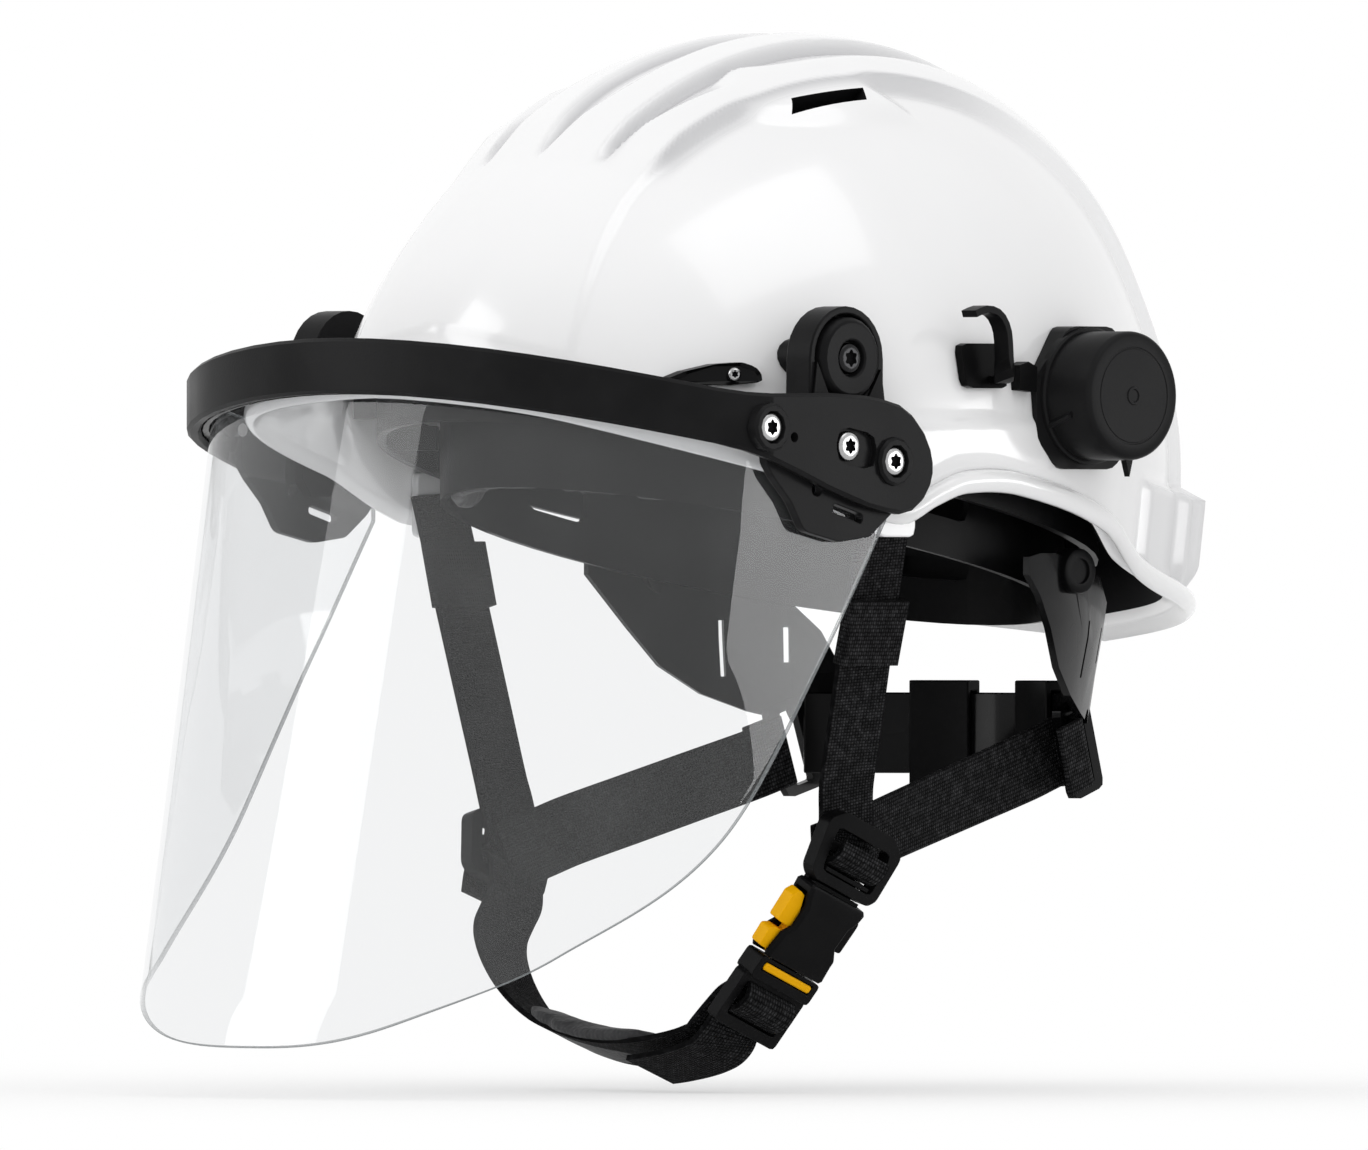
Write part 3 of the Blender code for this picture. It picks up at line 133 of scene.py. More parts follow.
# Head cradle and harness, as in the part's source
CRADLE_HALF_WIDTH = 90.0
CRADLE_HALF_LENGTH = 110.0
CRADLE_CENTRE = -6.0
CRADLE_HEIGHT = 5.0
CRADLE_WALL = 2.6
CROWN_STRAP_WIDTH = 22.0
CROWN_STRAP = 1.4
WORN_SLOPE = -0.2
LOCK_SEAT = (56.8, 71.0, -70.5)
LOCK_AIM = (70.0, -28.5, -102.0)
WEBBING_WIDTH = 20.0
WEBBING = 1.5
WEBBING_COLUMNS = 8
SELVEDGE = 0.4
WRAP_STEPS = 8
STRAP_TOP = (89.4, -35.5, 2.0)
KEEPER_HEIGHT = {"left": -37.0, "right": -21.0}
DIVIDER_CENTRE = (68.5, -30.3, -100.8)
DIVIDER_ACROSS = (-0.065, 0.934, -0.35)
DIVIDER_UP = (0.233, 0.355, 0.905)
DIVIDER_BAR = 1.2
BUCKLE_HEAD = (70.1, -30.5, -101.4)
BUCKLE_UP = (0.451, 0.34, 0.824)
PLUG_BAR = 47.7
CHIN_TILT = 0.375
CHIN_ROUTE = (
    (33, -151.5), (20, -155), (4, -156.5), (-13, -155), (-33, -149.5), (-52, -138), (-63.5, -124),
)

# Camera, floor and the light that the surroundings give. The camera's distance and scale are in metres
IMAGE_WIDTH = 1368
CAMERA_AZIMUTH = 45.0
CAMERA_DISTANCE = 8.0
CAMERA_AIM = Vector((-13.75, -13.75, -21.1)) * MM
PIXELS_PER_METRE = 3550.0
FLOOR_HEIGHT = -166.0
FLOOR_HALF = 30000.0
AMBIENT = 1.14
TOP_DIMMING = 0.08
BACK_DIMMING = 0.4
BACK_DIRECTION = (0.45, 0.89, 0)


def clamped(x):
    return min(max(x, 0.0), 1.0)


def eased(x):
    """Smooth rise from 0 to 1 while x goes from 0 to 1."""
    x = clamped(x)
    return x * x * (3 - 2 * x)


def mixed(a, b, share):
    return a + (b - a) * share


def power(value, exponent):
    """Power of a value's size, with the value's sign."""
    return abs(value) ** exponent if value >= 0 else -(abs(value) ** exponent)


def follow(stations, x):
    """Smooth value at x through given (x, value) stations in rising order of x."""
    last = len(stations) - 1
    k = max(i for i in range(last) if i == 0 or stations[i][0] <= x)

    def slope(i):
        before, after = stations[max(i - 1, 0)], stations[min(i + 1, last)]
        return (after[1] - before[1]) / (after[0] - before[0])

    (x0, y0), (x1, y1) = stations[k], stations[k + 1]
    span = x1 - x0
    t = clamped((x - x0) / span)
    bend = (t**3 - 2 * t**2 + t) * slope(k) + (t**3 - t**2) * slope(k + 1)
    return (2 * t**3 - 3 * t**2 + 1) * y0 + (3 * t**2 - 2 * t**3) * y1 + bend * span


def run_lengths(points):
    """Length along a line of points up to each of them."""
    runs = [0.0]
    for a, b in zip(points, points[1:]):
        runs.append(runs[-1] + (b - a).length)
    return runs


def smooth_path(points, count, carried=None):
    """A count of points on a smooth curve through the given ones, or of the vectors carried along it."""
    runs = run_lengths(points)
    followed = carried or points
    axes = [[(run, p[axis]) for run, p in zip(runs, followed)] for axis in range(3)]
    return [
        Vector([follow(axis, runs[-1] * i / (count - 1)) for axis in axes]) for i in range(count)
    ]


def frame_of(origin, across, up):
    """Frame with its first axis across, its second up and its third out of their plane."""
    across = Vector(across).normalized()
    out = across.cross(Vector(up)).normalized()
    turn = Matrix((across, out.cross(across), out)).transposed().to_4x4()
    return Matrix.Translation(Vector(origin)) @ turn


def side_frame(side, centre, depth):
    """Frame facing out of one side of the hat, at a (y, z) centre and a depth off the mid-plane."""
    return frame_of((side * depth, *centre), (0, side, 0), (0, 0, 1))


def flipped(vector, side):
    """A left-hand vector, or its mirror image on the right."""
    return Vector((side * vector[0], vector[1], vector[2]))


def feed(socket, value):
    """Give a socket a plain value, or a link to a node's output."""
    if isinstance(value, Value):
        value.tree.links.new(value.output, socket)
    else:
        socket.default_value = value


class Value:
    """A node's output. Arithmetic on it adds Math nodes."""

    def __init__(self, tree, output=None):
        self.tree = tree
        self.output = output

    def node(self, kind, settings=(), sockets=(), output=0):
        """Any other node: its settings come first, then the values or links of its sockets."""
        made = self.tree.nodes.new(kind)
        for name, value in dict(settings).items():
            setattr(made, name, value)
        for name, value in dict(sockets).items():
            feed(made.inputs[name], value)
        return Value(self.tree, made.outputs[output])

    def math(self, operation, first, second=0.0):
        return self.node("ShaderNodeMath", {"operation": operation}, {0: first, 1: second})

    def __add__(self, other):
        return self.math("ADD", self, other)

    __radd__ = __add__

    def __sub__(self, other):
        return self.math("SUBTRACT", self, other)

    def __rsub__(self, other):
        return self.math("SUBTRACT", other, self)

    def __mul__(self, other):
        return self.math("MULTIPLY", self, other)

    __rmul__ = __mul__

    def __pow__(self, other):
        return self.math("POWER", self, other)

    def __abs__(self):
        return self.math("ABSOLUTE", self)

    def wave(self):
        return self.math("SINE", self)

    def most(self, other):
        return self.math("MAXIMUM", self, other)

    def step(self, low, high):
        """0 below low, 1 above high and a smooth rise between them."""
        return self.node(
            "ShaderNodeMapRange", {"interpolation_type": "SMOOTHSTEP"}, {0: self, 1: low, 2: high}
        )

    def colour(self, first, second):
        """Mix of two colours by this value."""
        pair = {0: self, 6: first if isinstance(first, Value) else (*first, 1), 7: (*second, 1)}
        return self.node("ShaderNodeMix", {"data_type": "RGBA"}, pair, 2)

    def shaders(self, first, second):
        """Mix of two shaders by this value."""
        return self.node("ShaderNodeMixShader", (), {0: self, 1: first, 2: second})

    def place(self, kind):
        """Coordinates of a surface's points."""
        return self.node("ShaderNodeTexCoord", output=kind)

    def axis(self, name):
        """One axis of these coordinates."""
        return self.node("ShaderNodeSeparateXYZ", (), {0: self}, name)

    def noise(self, scale, detail):
        """Noise on these coordinates, from 0 to 1."""
        return self.node("ShaderNodeTexNoise", (), {"Vector": self, "Scale": scale, "Detail": detail})

    def bump(self, strength, distance):
        """Normal of a surface with this height."""
        sockets = {"Height": self, "Strength": strength, "Distance": distance * MM}
        return self.node("ShaderNodeBump", (), sockets)


def new_finish(name):
    """Empty finish, with its shader and the coordinates that its nodes start from."""
    made = bpy.data.materials.new(name)
    made.use_nodes = True
    return made, made.node_tree.nodes["Principled BSDF"], Value(made.node_tree).place("Object")


def set_shader(shader, **sockets):
    """Feed a shader's sockets, named with underscores for spaces."""
    for name, value in sockets.items():
        feed(shader.inputs[name.replace("_", " ")], value)


def moulded(name, dark, light, rough, grain, coat=0.0):
    """Moulded plastic: slight patches of colour and gloss over a fine grain."""
    made, shader, place = new_finish(name)
    patch = place.noise(38.0, 3.0).step(0.3, 0.7)
    fine = place.noise(1500.0, 2.0)
    set_shader(
        shader, Base_Color=patch.colour(dark, light), Roughness=patch * 0.1 + rough,
        Normal=fine.bump(grain, 0.12), Coat_Weight=coat, Coat_Roughness=0.08, Specular_IOR_Level=0.05,
    )
    return made


def shell_finish():
    """Glossy white moulding with a faint orange-peel surface. Painted shade darkens it in its grooves'
    corners and on the rear block, where it is also rougher and less coated.
    """
    made, shader, place = new_finish("shell_gloss_white")
    patch = place.noise(14.0, 3.0).step(0.25, 0.75)
    peel = place.noise(260.0, 2.0)
    # Painted shade read from the mesh: the grooves' corners and the rear block darken towards grey and lose
    # gloss
    painted_shade = place.node("ShaderNodeAttribute", {"attribute_name": "painted_shade"}, output="Fac")
    clean = patch.colour((0.865, 0.865, 0.87), (0.89, 0.89, 0.895))
    set_shader(
        shader, Base_Color=(painted_shade * 0.65).colour(clean, (0.38, 0.38, 0.395)),
        Roughness=patch * 0.05 + painted_shade * 0.4 + 0.13, Normal=peel.bump(0.05, 0.12),
        Coat_Weight=(1 - painted_shade) ** 3 * 0.25, Coat_Roughness=0.04,
    )
    return made


def webbing_finish():
    """Black woven webbing. Its UV map is in metres, across and then along the strap."""
    made, shader, place = new_finish("black_webbing")
    spot = place.place("UV")
    warp_pitch, weft_pitch = 0.0011, 0.0009
    warp = (spot.axis("X") * (pi / warp_pitch)).wave()
    weft = (spot.axis("Y") * (pi / weft_pitch)).wave()
    cross = warp * weft
    thread = abs(cross) ** 0.6
    wear = place.noise(420.0, 4.0).step(0.35, 0.7)
    over = cross.step(-0.35, 0.35)
    shade = thread * 0.5 + over * 0.15 + wear * 0.35
    set_shader(
        shader, Base_Color=(shade ** 2.4).colour((0.0008, 0.0008, 0.001), (0.055, 0.055, 0.058)),
        Roughness=0.9 - thread * 0.25, Normal=(thread + over * 0.5).bump(1.0, 0.5),
        Specular_IOR_Level=0.05, Sheen_Weight=0.01, Sheen_Roughness=0.5,
    )
    return made


def pad_finish():
    """Soft black knit over foam: small loops with lint between them."""
    made, shader, place = new_finish("knitted_pad")
    loops = place.node(
        "ShaderNodeTexVoronoi", {"feature": "SMOOTH_F1"}, {"Vector": place, "Scale": 900.0}, "Distance"
    )
    lint = place.noise(300.0, 4.0)
    shade = loops * 0.6 + lint * 0.5
    set_shader(
        shader, Base_Color=shade.colour((0.03, 0.03, 0.032), (0.006, 0.006, 0.007)),
        Roughness=lint * 0.2 + 0.75, Normal=(1 - loops).bump(0.6, 0.4), Sheen_Weight=0.15,
    )
    return made


def steel_finish(name, dark, light):
    """Plated steel with fine turning marks."""
    made, shader, place = new_finish(name)
    marks = place.noise(2600.0, 3.0)
    set_shader(
        shader, Base_Color=marks.colour(dark, light), Metallic=1.0,
        Roughness=marks * 0.16 + 0.16, Normal=marks.bump(0.12, 0.05),
    )
    return made


def lens_finish():
    """Clear sheet with a thin haze, and a mirror share that grows at grazing angles."""
    made, shader, place = new_finish("clear_sheet")
    smear = place.noise(26.0, 3.0).step(0.35, 0.8)
    inner = place.node("ShaderNodeNewGeometry", output="Backfacing")
    gloss = place.node("ShaderNodeFresnel", (), {"IOR": 1.45}) * (1 - inner)
    set_shader(
        shader, Base_Color=smear.colour((0.92, 0.925, 0.93), (0.96, 0.965, 0.97)), Metallic=1.0,
        Roughness=smear * 0.03 + 0.015,
    )
    clear = place.node("ShaderNodeBsdfTransparent", (), {"Color": (0.944, 0.947, 0.95, 1)})
    haze = place.node("ShaderNodeBsdfDiffuse", (), {"Color": (0.85, 0.87, 0.88, 1)})
    bright = gloss.shaders(clear, Value(place.tree, shader.outputs[0]))
    hazed = ((smear * 0.02 + 0.03) * (1 - inner)).shaders(bright, haze)
    feed(place.tree.nodes["Material Output"].inputs["Surface"], hazed)
    return made


def edge_finish():
    """Cut edge of the clear sheet, a little darker and cooler than its faces."""
    made, shader, place = new_finish("clear_sheet_edge")
    saw = place.noise(700.0, 2.0)
    set_shader(
        shader, Base_Color=saw.colour((0.13, 0.145, 0.15), (0.26, 0.28, 0.29)), Roughness=0.25,
        Alpha=saw * 0.2 + 0.6,
    )
    return made


def make_finishes():
    """Finish of each material slot, and a few more that single pieces or faces have."""
    satin = (0.0028, 0.0028, 0.003), (0.0058, 0.0058, 0.0062)
    # Painted light: a lighter copy of the satin black, for the parts that face the light: visor carrier,
    # housings, pivots, clamps and brackets
    painted_light_tones = (0.0078, 0.0078, 0.0082), (0.0125, 0.0125, 0.013)
    polished = (0.0028, 0.0028, 0.003), (0.0055, 0.0055, 0.006)
    return {
        "shell_white": shell_finish(),
        "black_plastic": moulded("satin_black", *satin, 0.32, 0.22),
        "black_with_painted_light": moulded("black_with_painted_light", *painted_light_tones, 0.3, 0.22),
        "gloss_black": moulded("polished_black", *polished, 0.2, 0.06, 0.1),
        "webbing": webbing_finish(),
        "pad_foam": pad_finish(),
        "clear_lens": lens_finish(),
        "bright_steel": steel_finish("plated_steel", (0.3, 0.3, 0.305), (0.52, 0.52, 0.52)),
        "dark_steel": steel_finish("blackened_steel", (0.012, 0.012, 0.013), (0.03, 0.03, 0.031)),
        "release_yellow": moulded("release_yellow", (0.88, 0.43, 0.002), (0.94, 0.47, 0.003), 0.34, 0.15),
        "lens_edge": edge_finish(),
        # Dark lining inside the shell. It also serves as painted shade on the rear brim's underside, in the
        # vent slots and in the screws' recesses
        "liner_and_painted_shade": moulded("black_liner_and_painted_shade", (0.004, 0.004, 0.0045), (0.01, 0.01, 0.011), 0.8, 0.6),
    }


def face_outwards(bm):
    bmesh.ops.recalc_face_normals(bm, faces=bm.faces[:])


def mesh_of(name, bm):
    """Mesh in metres from a bmesh in millimetres, which is used up."""
    bmesh.ops.scale(bm, vec=(MM, MM, MM), verts=bm.verts[:])
    mesh = bpy.data.meshes.new(name)
    bm.to_mesh(mesh)
    bm.free()
    return mesh


def placed(name, data):
    """New object in the scene."""
    made = bpy.data.objects.new(name, data)
    bpy.context.scene.collection.objects.link(made)
    return made


def finished(name, bm, finish, body, nodes=(), sharp=SHARP_ANGLE, extra=None):
    """Turn a bmesh into a piece that rides on a body and stands for the given nodes."""
    mesh = mesh_of(name, bm)
    mesh.shade_smooth()
    mesh.set_sharp_from_angle(angle=radians(sharp))
    piece = placed(name, mesh)
    mesh.materials.append(FINISHES[finish])
    if extra:
        mesh.materials.append(FINISHES[extra])
    if body:
        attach(piece, body)
    if nodes:
        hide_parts(*nodes)
    return piece


def node_copy(node):
    """The triangles of a CAD node, joined, in millimetres."""
    bm = bmesh.new()
    bm.from_mesh(frame["nodes"][node].data)
    bmesh.ops.scale(bm, vec=(1 / MM, 1 / MM, 1 / MM), verts=bm.verts[:])
    bmesh.ops.remove_doubles(bm, verts=bm.verts[:], dist=MERGE_DISTANCE)
    bmesh.ops.dissolve_limit(bm, angle_limit=radians(0.6), verts=bm.verts[:], edges=bm.edges[:])
    return bm


def body_of(node):
    bodies = frame["record"]["behaviour"]["bodies"]
    return next(body for body, nodes in bodies.items() if node in nodes)


def slot_of(node):
    return next(part["material_slot"] for part in frame["record"]["subparts"] if part["node"] == node)


def round_edges(piece, name, width, angle):
    """Small radius on the edges that turn by more than an angle."""
    radius = piece.modifiers.new(name, "BEVEL")
    radius.width = width * MM
    radius.segments = 2
    radius.limit_method = "ANGLE"
    radius.angle_limit = radians(angle)
    return radius


def eased_copy(node, width=0.45, sharp=SHARP_ANGLE, shape=None, tool=None, finish=None):
    """Piece with a CAD node's form, or a shape made from it, and a small radius on its edges."""
    bm = shape or node_copy(node)
    piece = finished(f"{node}_eased", bm, slot_of(node), body_of(node), (node,), sharp)
    if finish:
        piece.data.materials[0] = FINISHES[finish]
    if tool:
        carve(piece, tool)
    round_edges(piece, "edge radius", width, sharp)
    even = piece.modifiers.new("even shading", "WEIGHTED_NORMAL")
    even.keep_sharp = True
    return piece


def side_slab(bm, side, outline, low, high):
    """Plate on one side of the hat with a (y, z) outline, between two distances from the mid-plane."""
    face = bm.faces.new([bm.verts.new((side * y, z, low)) for y, z in outline])
    grown = bmesh.ops.extrude_face_region(bm, geom=[face])["geom"]
    tops = [item for item in grown if isinstance(item, bmesh.types.BMVert)]
    bmesh.ops.translate(bm, vec=(0, 0, high - low), verts=tops)
    seat = side_frame(side, (0, 0), 0)
    bmesh.ops.transform(bm, matrix=seat, verts=tops + list(face.verts))


def spun(line, steps):
    """Surface that a line of points makes in a full turn about the third axis."""
    bm = bmesh.new()
    verts = [bm.verts.new(point) for point in line]
    edges = [bm.edges.new(pair) for pair in zip(verts, verts[1:])]
    bmesh.ops.spin(
        bm, geom=verts + edges, cent=(0, 0, 0), axis=(0, 0, 1), angle=2 * pi, steps=steps, use_merge=True
    )
    return bm


def turned(name, seat, profile, finish, body):
    """Piece turned about its seat's third axis from (radius, height) points that start and end on it."""
    bm = spun([(radius, 0, height) for radius, height in profile], 72)
    bmesh.ops.remove_doubles(bm, verts=bm.verts[:], dist=MERGE_DISTANCE)
    face_outwards(bm)
    bmesh.ops.transform(bm, matrix=seat, verts=bm.verts[:])
    return finished(name, bm, finish, body, (), 30)


def sheet_grid(across, along):
    """Flat grid with a UV layer, and each vertex's share across and along it."""
    bm = bmesh.new()
    bm.loops.layers.uv.new("UVMap")
    bmesh.ops.create_grid(bm, x_segments=across, y_segments=along, size=1)
    return bm, {vert: ((vert.co.x + 1) / 2, (vert.co.y + 1) / 2) for vert in bm.verts}


def strip(route, wide, width, thickness, count):
    """Webbing along a route: a grid bent to it, UVs in metres, then its thickness."""
    path = smooth_path(route, count)
    sides = smooth_path(route, count, wide)
    runs = run_lengths(path)
    last = count - 1
    bm, shares = sheet_grid(WEBBING_COLUMNS, last)
    uv = bm.loops.layers.uv.active
    for face in bm.faces:
        for loop in face.loops:
            s, t = shares[loop.vert]
            loop[uv].uv = s * width * MM, runs[round(t * last)] * MM
    for vert, (s, t) in shares.items():
        i = round(t * last)
        along = (path[min(i + 1, last)] - path[max(i - 1, 0)]).normalized()
        side = (sides[i] - along * sides[i].dot(along)).normalized()
        out = side.cross(along).normalized()
        vert.co = path[i] + side * (s - 0.5) * width + out * thickness / 2
    face_outwards(bm)
    bmesh.ops.solidify(bm, geom=bm.faces[:], thickness=thickness)
    face_outwards(bm)
    return bm


def webbing(name, route, wide, count, body, nodes, width=WEBBING_WIDTH, thickness=WEBBING):
    """Piece of webbing along a route, with rounded selvedges. wide points across it all the way."""
    piece = finished(name, strip(route, wide, width, thickness, count), "webbing", body, nodes, 50)
    round_edges(piece, "selvedge", SELVEDGE, 60)
    return piece


def dome_lean(z):
    """Where the dome's middle lies at a height."""
    return DOME_CENTRE + DOME_LEAN * z


def dome_length(z, rear):
    """Half length of the dome at a height. The rear wall swells towards the brim."""
    return DOME_HALF_LENGTH + (REAR_SWELL * eased((REAR_SWELL_TOP - z) / REAR_SWELL_DROP) if rear else 0)


def dome_share(z, rise=0.0):
    """How much of its full plan the dome keeps at a height."""
    return sqrt(max(0.0, 1 - (max(0.0, z - DOME_EQUATOR) / (DOME_RISE + rise)) ** 2))


def dome_side(y, z):
    """Half width of the plain dome at a point of its side."""
    lean = dome_lean(z)
    back = (y - lean) / dome_length(z, y > lean)
    return DOME_HALF_WIDTH * sqrt(max(0.0, dome_share(z) ** 2 - back**2))


def rim_plan(angle, inset):
    """Outer outline of peak, sides and brim. angle is 0 at the front and 180 at the back."""
    c, s = cos(radians(angle)), sin(radians(angle))
    squareness = 2 + (PEAK_SQUARENESS * c * c if c > 0 else 0)
    reach = (PEAK_REACH if c > 0 else BRIM_REACH) - inset
    return Vector(((RIM_HALF_WIDTH - inset) * power(s, 2 / squareness), -reach * power(c, 2 / squareness)))


def wall_plan(angle, z, inset=0.0):
    """Outline of the plain dome at a height."""
    share = dome_share(z, -inset)
    c, s = cos(radians(angle)), sin(radians(angle))
    length = dome_length(z, c < 0) - inset
    return Vector(((DOME_HALF_WIDTH - inset) * share * s, dome_lean(z) - length * share * c))


def crown_turn(x, y, z):
    """Degrees from the back over the top to the front, along the dome."""
    reach = sqrt(max(1e-6, 1 - (x / DOME_HALF_WIDTH) ** 2))
    up = max(0.0, z - DOME_EQUATOR) / DOME_RISE / reach
    back = (y - dome_lean(z)) / dome_length(z, y > dome_lean(z)) / reach
    return degrees(atan2(up, back))


def band_half_width(turn):
    """Half width of the raised crown band, which narrows towards the brow."""
    return mixed(BAND_REAR_HALF, BAND_FRONT_HALF, eased((turn - 29) / 120))


def foot_share(past, wall, spread):
    """1 at the foot of a wall, rising to it over the wall and fading on the floor beyond."""
    return max(0.0, 1 - past / spread) if past > 0 else eased(1 + past / wall)


def groove_walls(side, turn):
    """Distances inside the middle channel and past the outer step, share of the way back, and strength."""
    along = clamped((BROW_LINE - turn) / GROOVE_SPAN)
    channel = 2.6 + 5.4 * eased(along / 0.25)
    return channel - side, side - STEP_LINE, along, eased(along / 0.07) * eased((1 - along) / 0.4)


def groove_depth(side, turn):
    """Depth of the crown's grooves: a channel in the middle and a step that faces outwards beside it."""
    within, past, along, strength = groove_walls(side, turn)
    floor = 1 + 11 * eased(along / 0.4)
    channel = CHANNEL_DEPTH * eased(within / STEP_WALL)
    return strength * (channel + STEP_DEPTH * foot_share(past, STEP_WALL, floor))


def block_share(plan, z):
    """1 on the rear block, 0 off it, with a sloped step between them."""
    top = BLOCK_TOP - BLOCK_SLOPE * (plan - BLOCK_START - 1)
    return eased((plan - BLOCK_START) / 2) * eased((top - z) / 3.5)


def brow_lift(side, turn, z):
    """Rise of the brow panel, which is a little wider at its foot."""
    edge = mixed(42.5, 37.5, clamped((z - 47) / 36))
    return BROW_RISE * eased((edge + 1 - side) / 2.6) * eased((170 - turn) / 6)


def vent_pad_share(y, z):
    """1 on the flat pad round a vent, 0 off it. The pad is shorter at its top."""
    long = eased((28 - 0.6 * (z - 108) - abs(y - VENT_CENTRE[1])) / 10)
    return long * eased((z - 103.5) / 6) * eased((122 - z) / 4)


def ear_ridge_lift(plan, z):
    """Rise of the wall above the ear arch."""
    return EAR_RIDGE_RISE * eased((24 - z) / 4) * eased((plan - 66) / 8) * eased((118 - plan) / 8)


def relief(x, y, z, angle):
    """How far the shell's outside stands off the plain dome at a point."""
    side, turn, plan = abs(x), crown_turn(x, y, z), abs(angle)
    band = CROWN_BAND_RISE * eased((band_half_width(turn) + 2 - side) / 3.6)
    climb = clamped((BROW_LINE - turn) / 9)
    lift = mixed(brow_lift(side, turn, z), band, climb) - groove_depth(side, turn)
    if side > VENT_PAD_EDGE:
        lift = mixed(lift, VENT_PAD_RISE, vent_pad_share(y, z))
    panel = BLOCK_PANEL_RISE * eased((plan - BLOCK_PANEL_START) / 2.5)
    lift += block_share(plan, z) * (BLOCK_RISE + panel)
    return lift + ear_ridge_lift(plan, z)


def painted_shade_share(point, angle):
    """Painted shade at a point, from 0 to 1: at the foot of the grooves' walls and outside the band's edge,
    fading beyond them, and a lighter share on the rear block.
    """
    x, y, z = point
    side, turn = abs(x), crown_turn(x, y, z)
    within, past, _, strength = groove_walls(side, turn)
    edge = eased((BROW_LINE - turn) / 6) * eased((turn - 60) / 30)
    outer = edge * foot_share(side - band_half_width(turn), 2.0, 5.0)
    grooves = max(foot_share(within - STEP_WALL, STEP_WALL, 4.0), foot_share(past, STEP_WALL, 4.5))
    return max(strength * grooves, outer, BLOCK_PAINTED_SHADE * block_share(abs(angle), z))


def shell_rings():
    """Kind and turn of each ring, from the crown down the outside, round the rim and back up inside."""
    rings = [("wall", radians(90 * i / 119)) for i in range(120)]
    rings += [("flare", radians(90 * i / 14)) for i in range(1, 15)]
    rings += [("bead", radians(90 - 180 * i / 12)) for i in range(1, 13)]
    rings += [("under", radians(90 - 90 * i / 10)) for i in range(11)]
    rings += [("inside", radians(90 - 90 * i / 24)) for i in range(1, 25)]
    return rings


def shell_point(angle, kind, turn):
    """Place on the moulding of a ring's vertex, from its plan angle and the ring's kind and turn."""
    rim = follow(RIM_CONTOUR, abs(angle))
    base = rim + RIM_BEAD + FLARE_HEIGHT + FLARE_GROWTH * cos(radians(angle)) ** 4
    if kind == "inside":
        z = mixed(base, CROWN_HEIGHT - SHELL_WALL, cos(turn))
        return Vector((*wall_plan(angle, z, SHELL_WALL), z))
    if kind == "bead":
        plan = rim_plan(angle, RIM_INSET - BEAD_SWELL * cos(turn))
        return Vector((*plan, rim + RIM_BEAD / 2 * (1 + sin(turn))))
    if kind == "under":
        plan = wall_plan(angle, base, SHELL_WALL).lerp(rim_plan(angle, UNDER_INSET), 1 - cos(turn))
        return Vector((*plan, mixed(base, rim + RIM_BEAD - SHELL_WALL, sin(turn))))
    if kind == "flare":
        plan = wall_plan(angle, base).lerp(rim_plan(angle, RIM_INSET), 1 - cos(turn))
        point = Vector((*plan, mixed(base, rim + RIM_BEAD, sin(turn))))
        fade = 1 - eased(turn / radians(90))
    else:
        z = mixed(base, CROWN_HEIGHT, cos(turn))
        point = Vector((*wall_plan(angle, z), z))
        fade = 1.0
    x, y, z = point
    length = dome_length(z, y > dome_lean(z))
    back = (y - dome_lean(z)) / length**2
    out = Vector((x / DOME_HALF_WIDTH**2, back, max(0.0, z - DOME_EQUATOR) / DOME_RISE**2))
    return point + out.normalized() * relief(x, y, z, angle) * fade


def add_shell():
    """Spin a plain tube of rings, then move each vertex to its place on the moulding."""
    rings = shell_rings()
    bm = spun([(1, 0, i) for i in range(len(rings))], SHELL_COLUMNS)
    kinds = [kind for kind, turn in rings]
    # Dark faces: the lining inside at the front, and at the back painted shade from partway under the brim,
    # then the lining
    for face in bm.faces:
        ring = min(round(vert.co.z) for vert in face.verts)
        rear = face.calc_center_median().y > EAR_LINE
        first_dark = kinds.index("under") + UNDER_RINGS_BEFORE_SHADE if rear else kinds.index("inside") + BARE_RINGS
        face.material_index = int(ring >= first_dark)
    # Painted shade for the shell's finish, kept on each vertex of the outside
    painted_shade = bm.verts.layers.float.new("painted_shade")
    for vert in bm.verts:
        kind, turn = rings[round(vert.co.z)]
        angle = degrees(atan2(vert.co.x, -vert.co.y))
        vert.co = shell_point(angle, kind, turn)
        vert[painted_shade] = painted_shade_share(vert.co, angle) if kind in ("wall", "flare") else 0.0
    bmesh.ops.remove_doubles(bm, verts=bm.verts[:], dist=MERGE_DISTANCE)
    face_outwards(bm)
    shell = finished("shell_moulding", bm, "shell_white", "helmet", ("shell",), 75, extra="liner_and_painted_shade")
    carve(shell, vent_slots())


def carve(piece, bm):
    """Cut a shape out of a piece for good."""
    face_outwards(bm)
    tool = placed("carving_tool", mesh_of("carving_tool", bm))
    cut = piece.modifiers.new("carving", "BOOLEAN")
    cut.operation = "DIFFERENCE"
    cut.solver = "EXACT"
    cut.object = tool
    apply_modifiers(piece)
    bpy.data.objects.remove(tool)


def vent_slots():
    """Slanted vent slots through the crown's shoulders. Their walls take the dark finish as painted shade.
    """
    bm = bmesh.new()
    length, height, depth = VENT_SLOT
    for side in SIDES.values():
        out = flipped(VENT_OUT, side)
        seat = frame_of(flipped(VENT_CENTRE, side), (0, side, 0), out.cross(Vector((0, side, 0))))
        for vert in bmesh.ops.create_cube(bm, size=1)["verts"]:
            x, y, z = vert.co
            slanted = x * length + y * VENT_SLANT * side
            vert.co = seat @ Vector((slanted, y * height, z * depth - VENT_SINK))
    # Painted shade: the cut walls take the dark finish
    for face in bm.faces:
        face.material_index = 1
    return bm


def apply_modifiers(piece):
    """Keep the evaluated mesh and drop the modifiers that made it."""
    bpy.context.view_layer.update()
    graph = bpy.context.evaluated_depsgraph_get()
    mesh = bpy.data.meshes.new_from_object(piece.evaluated_get(graph))
    piece.modifiers.clear()
    piece.data = mesh


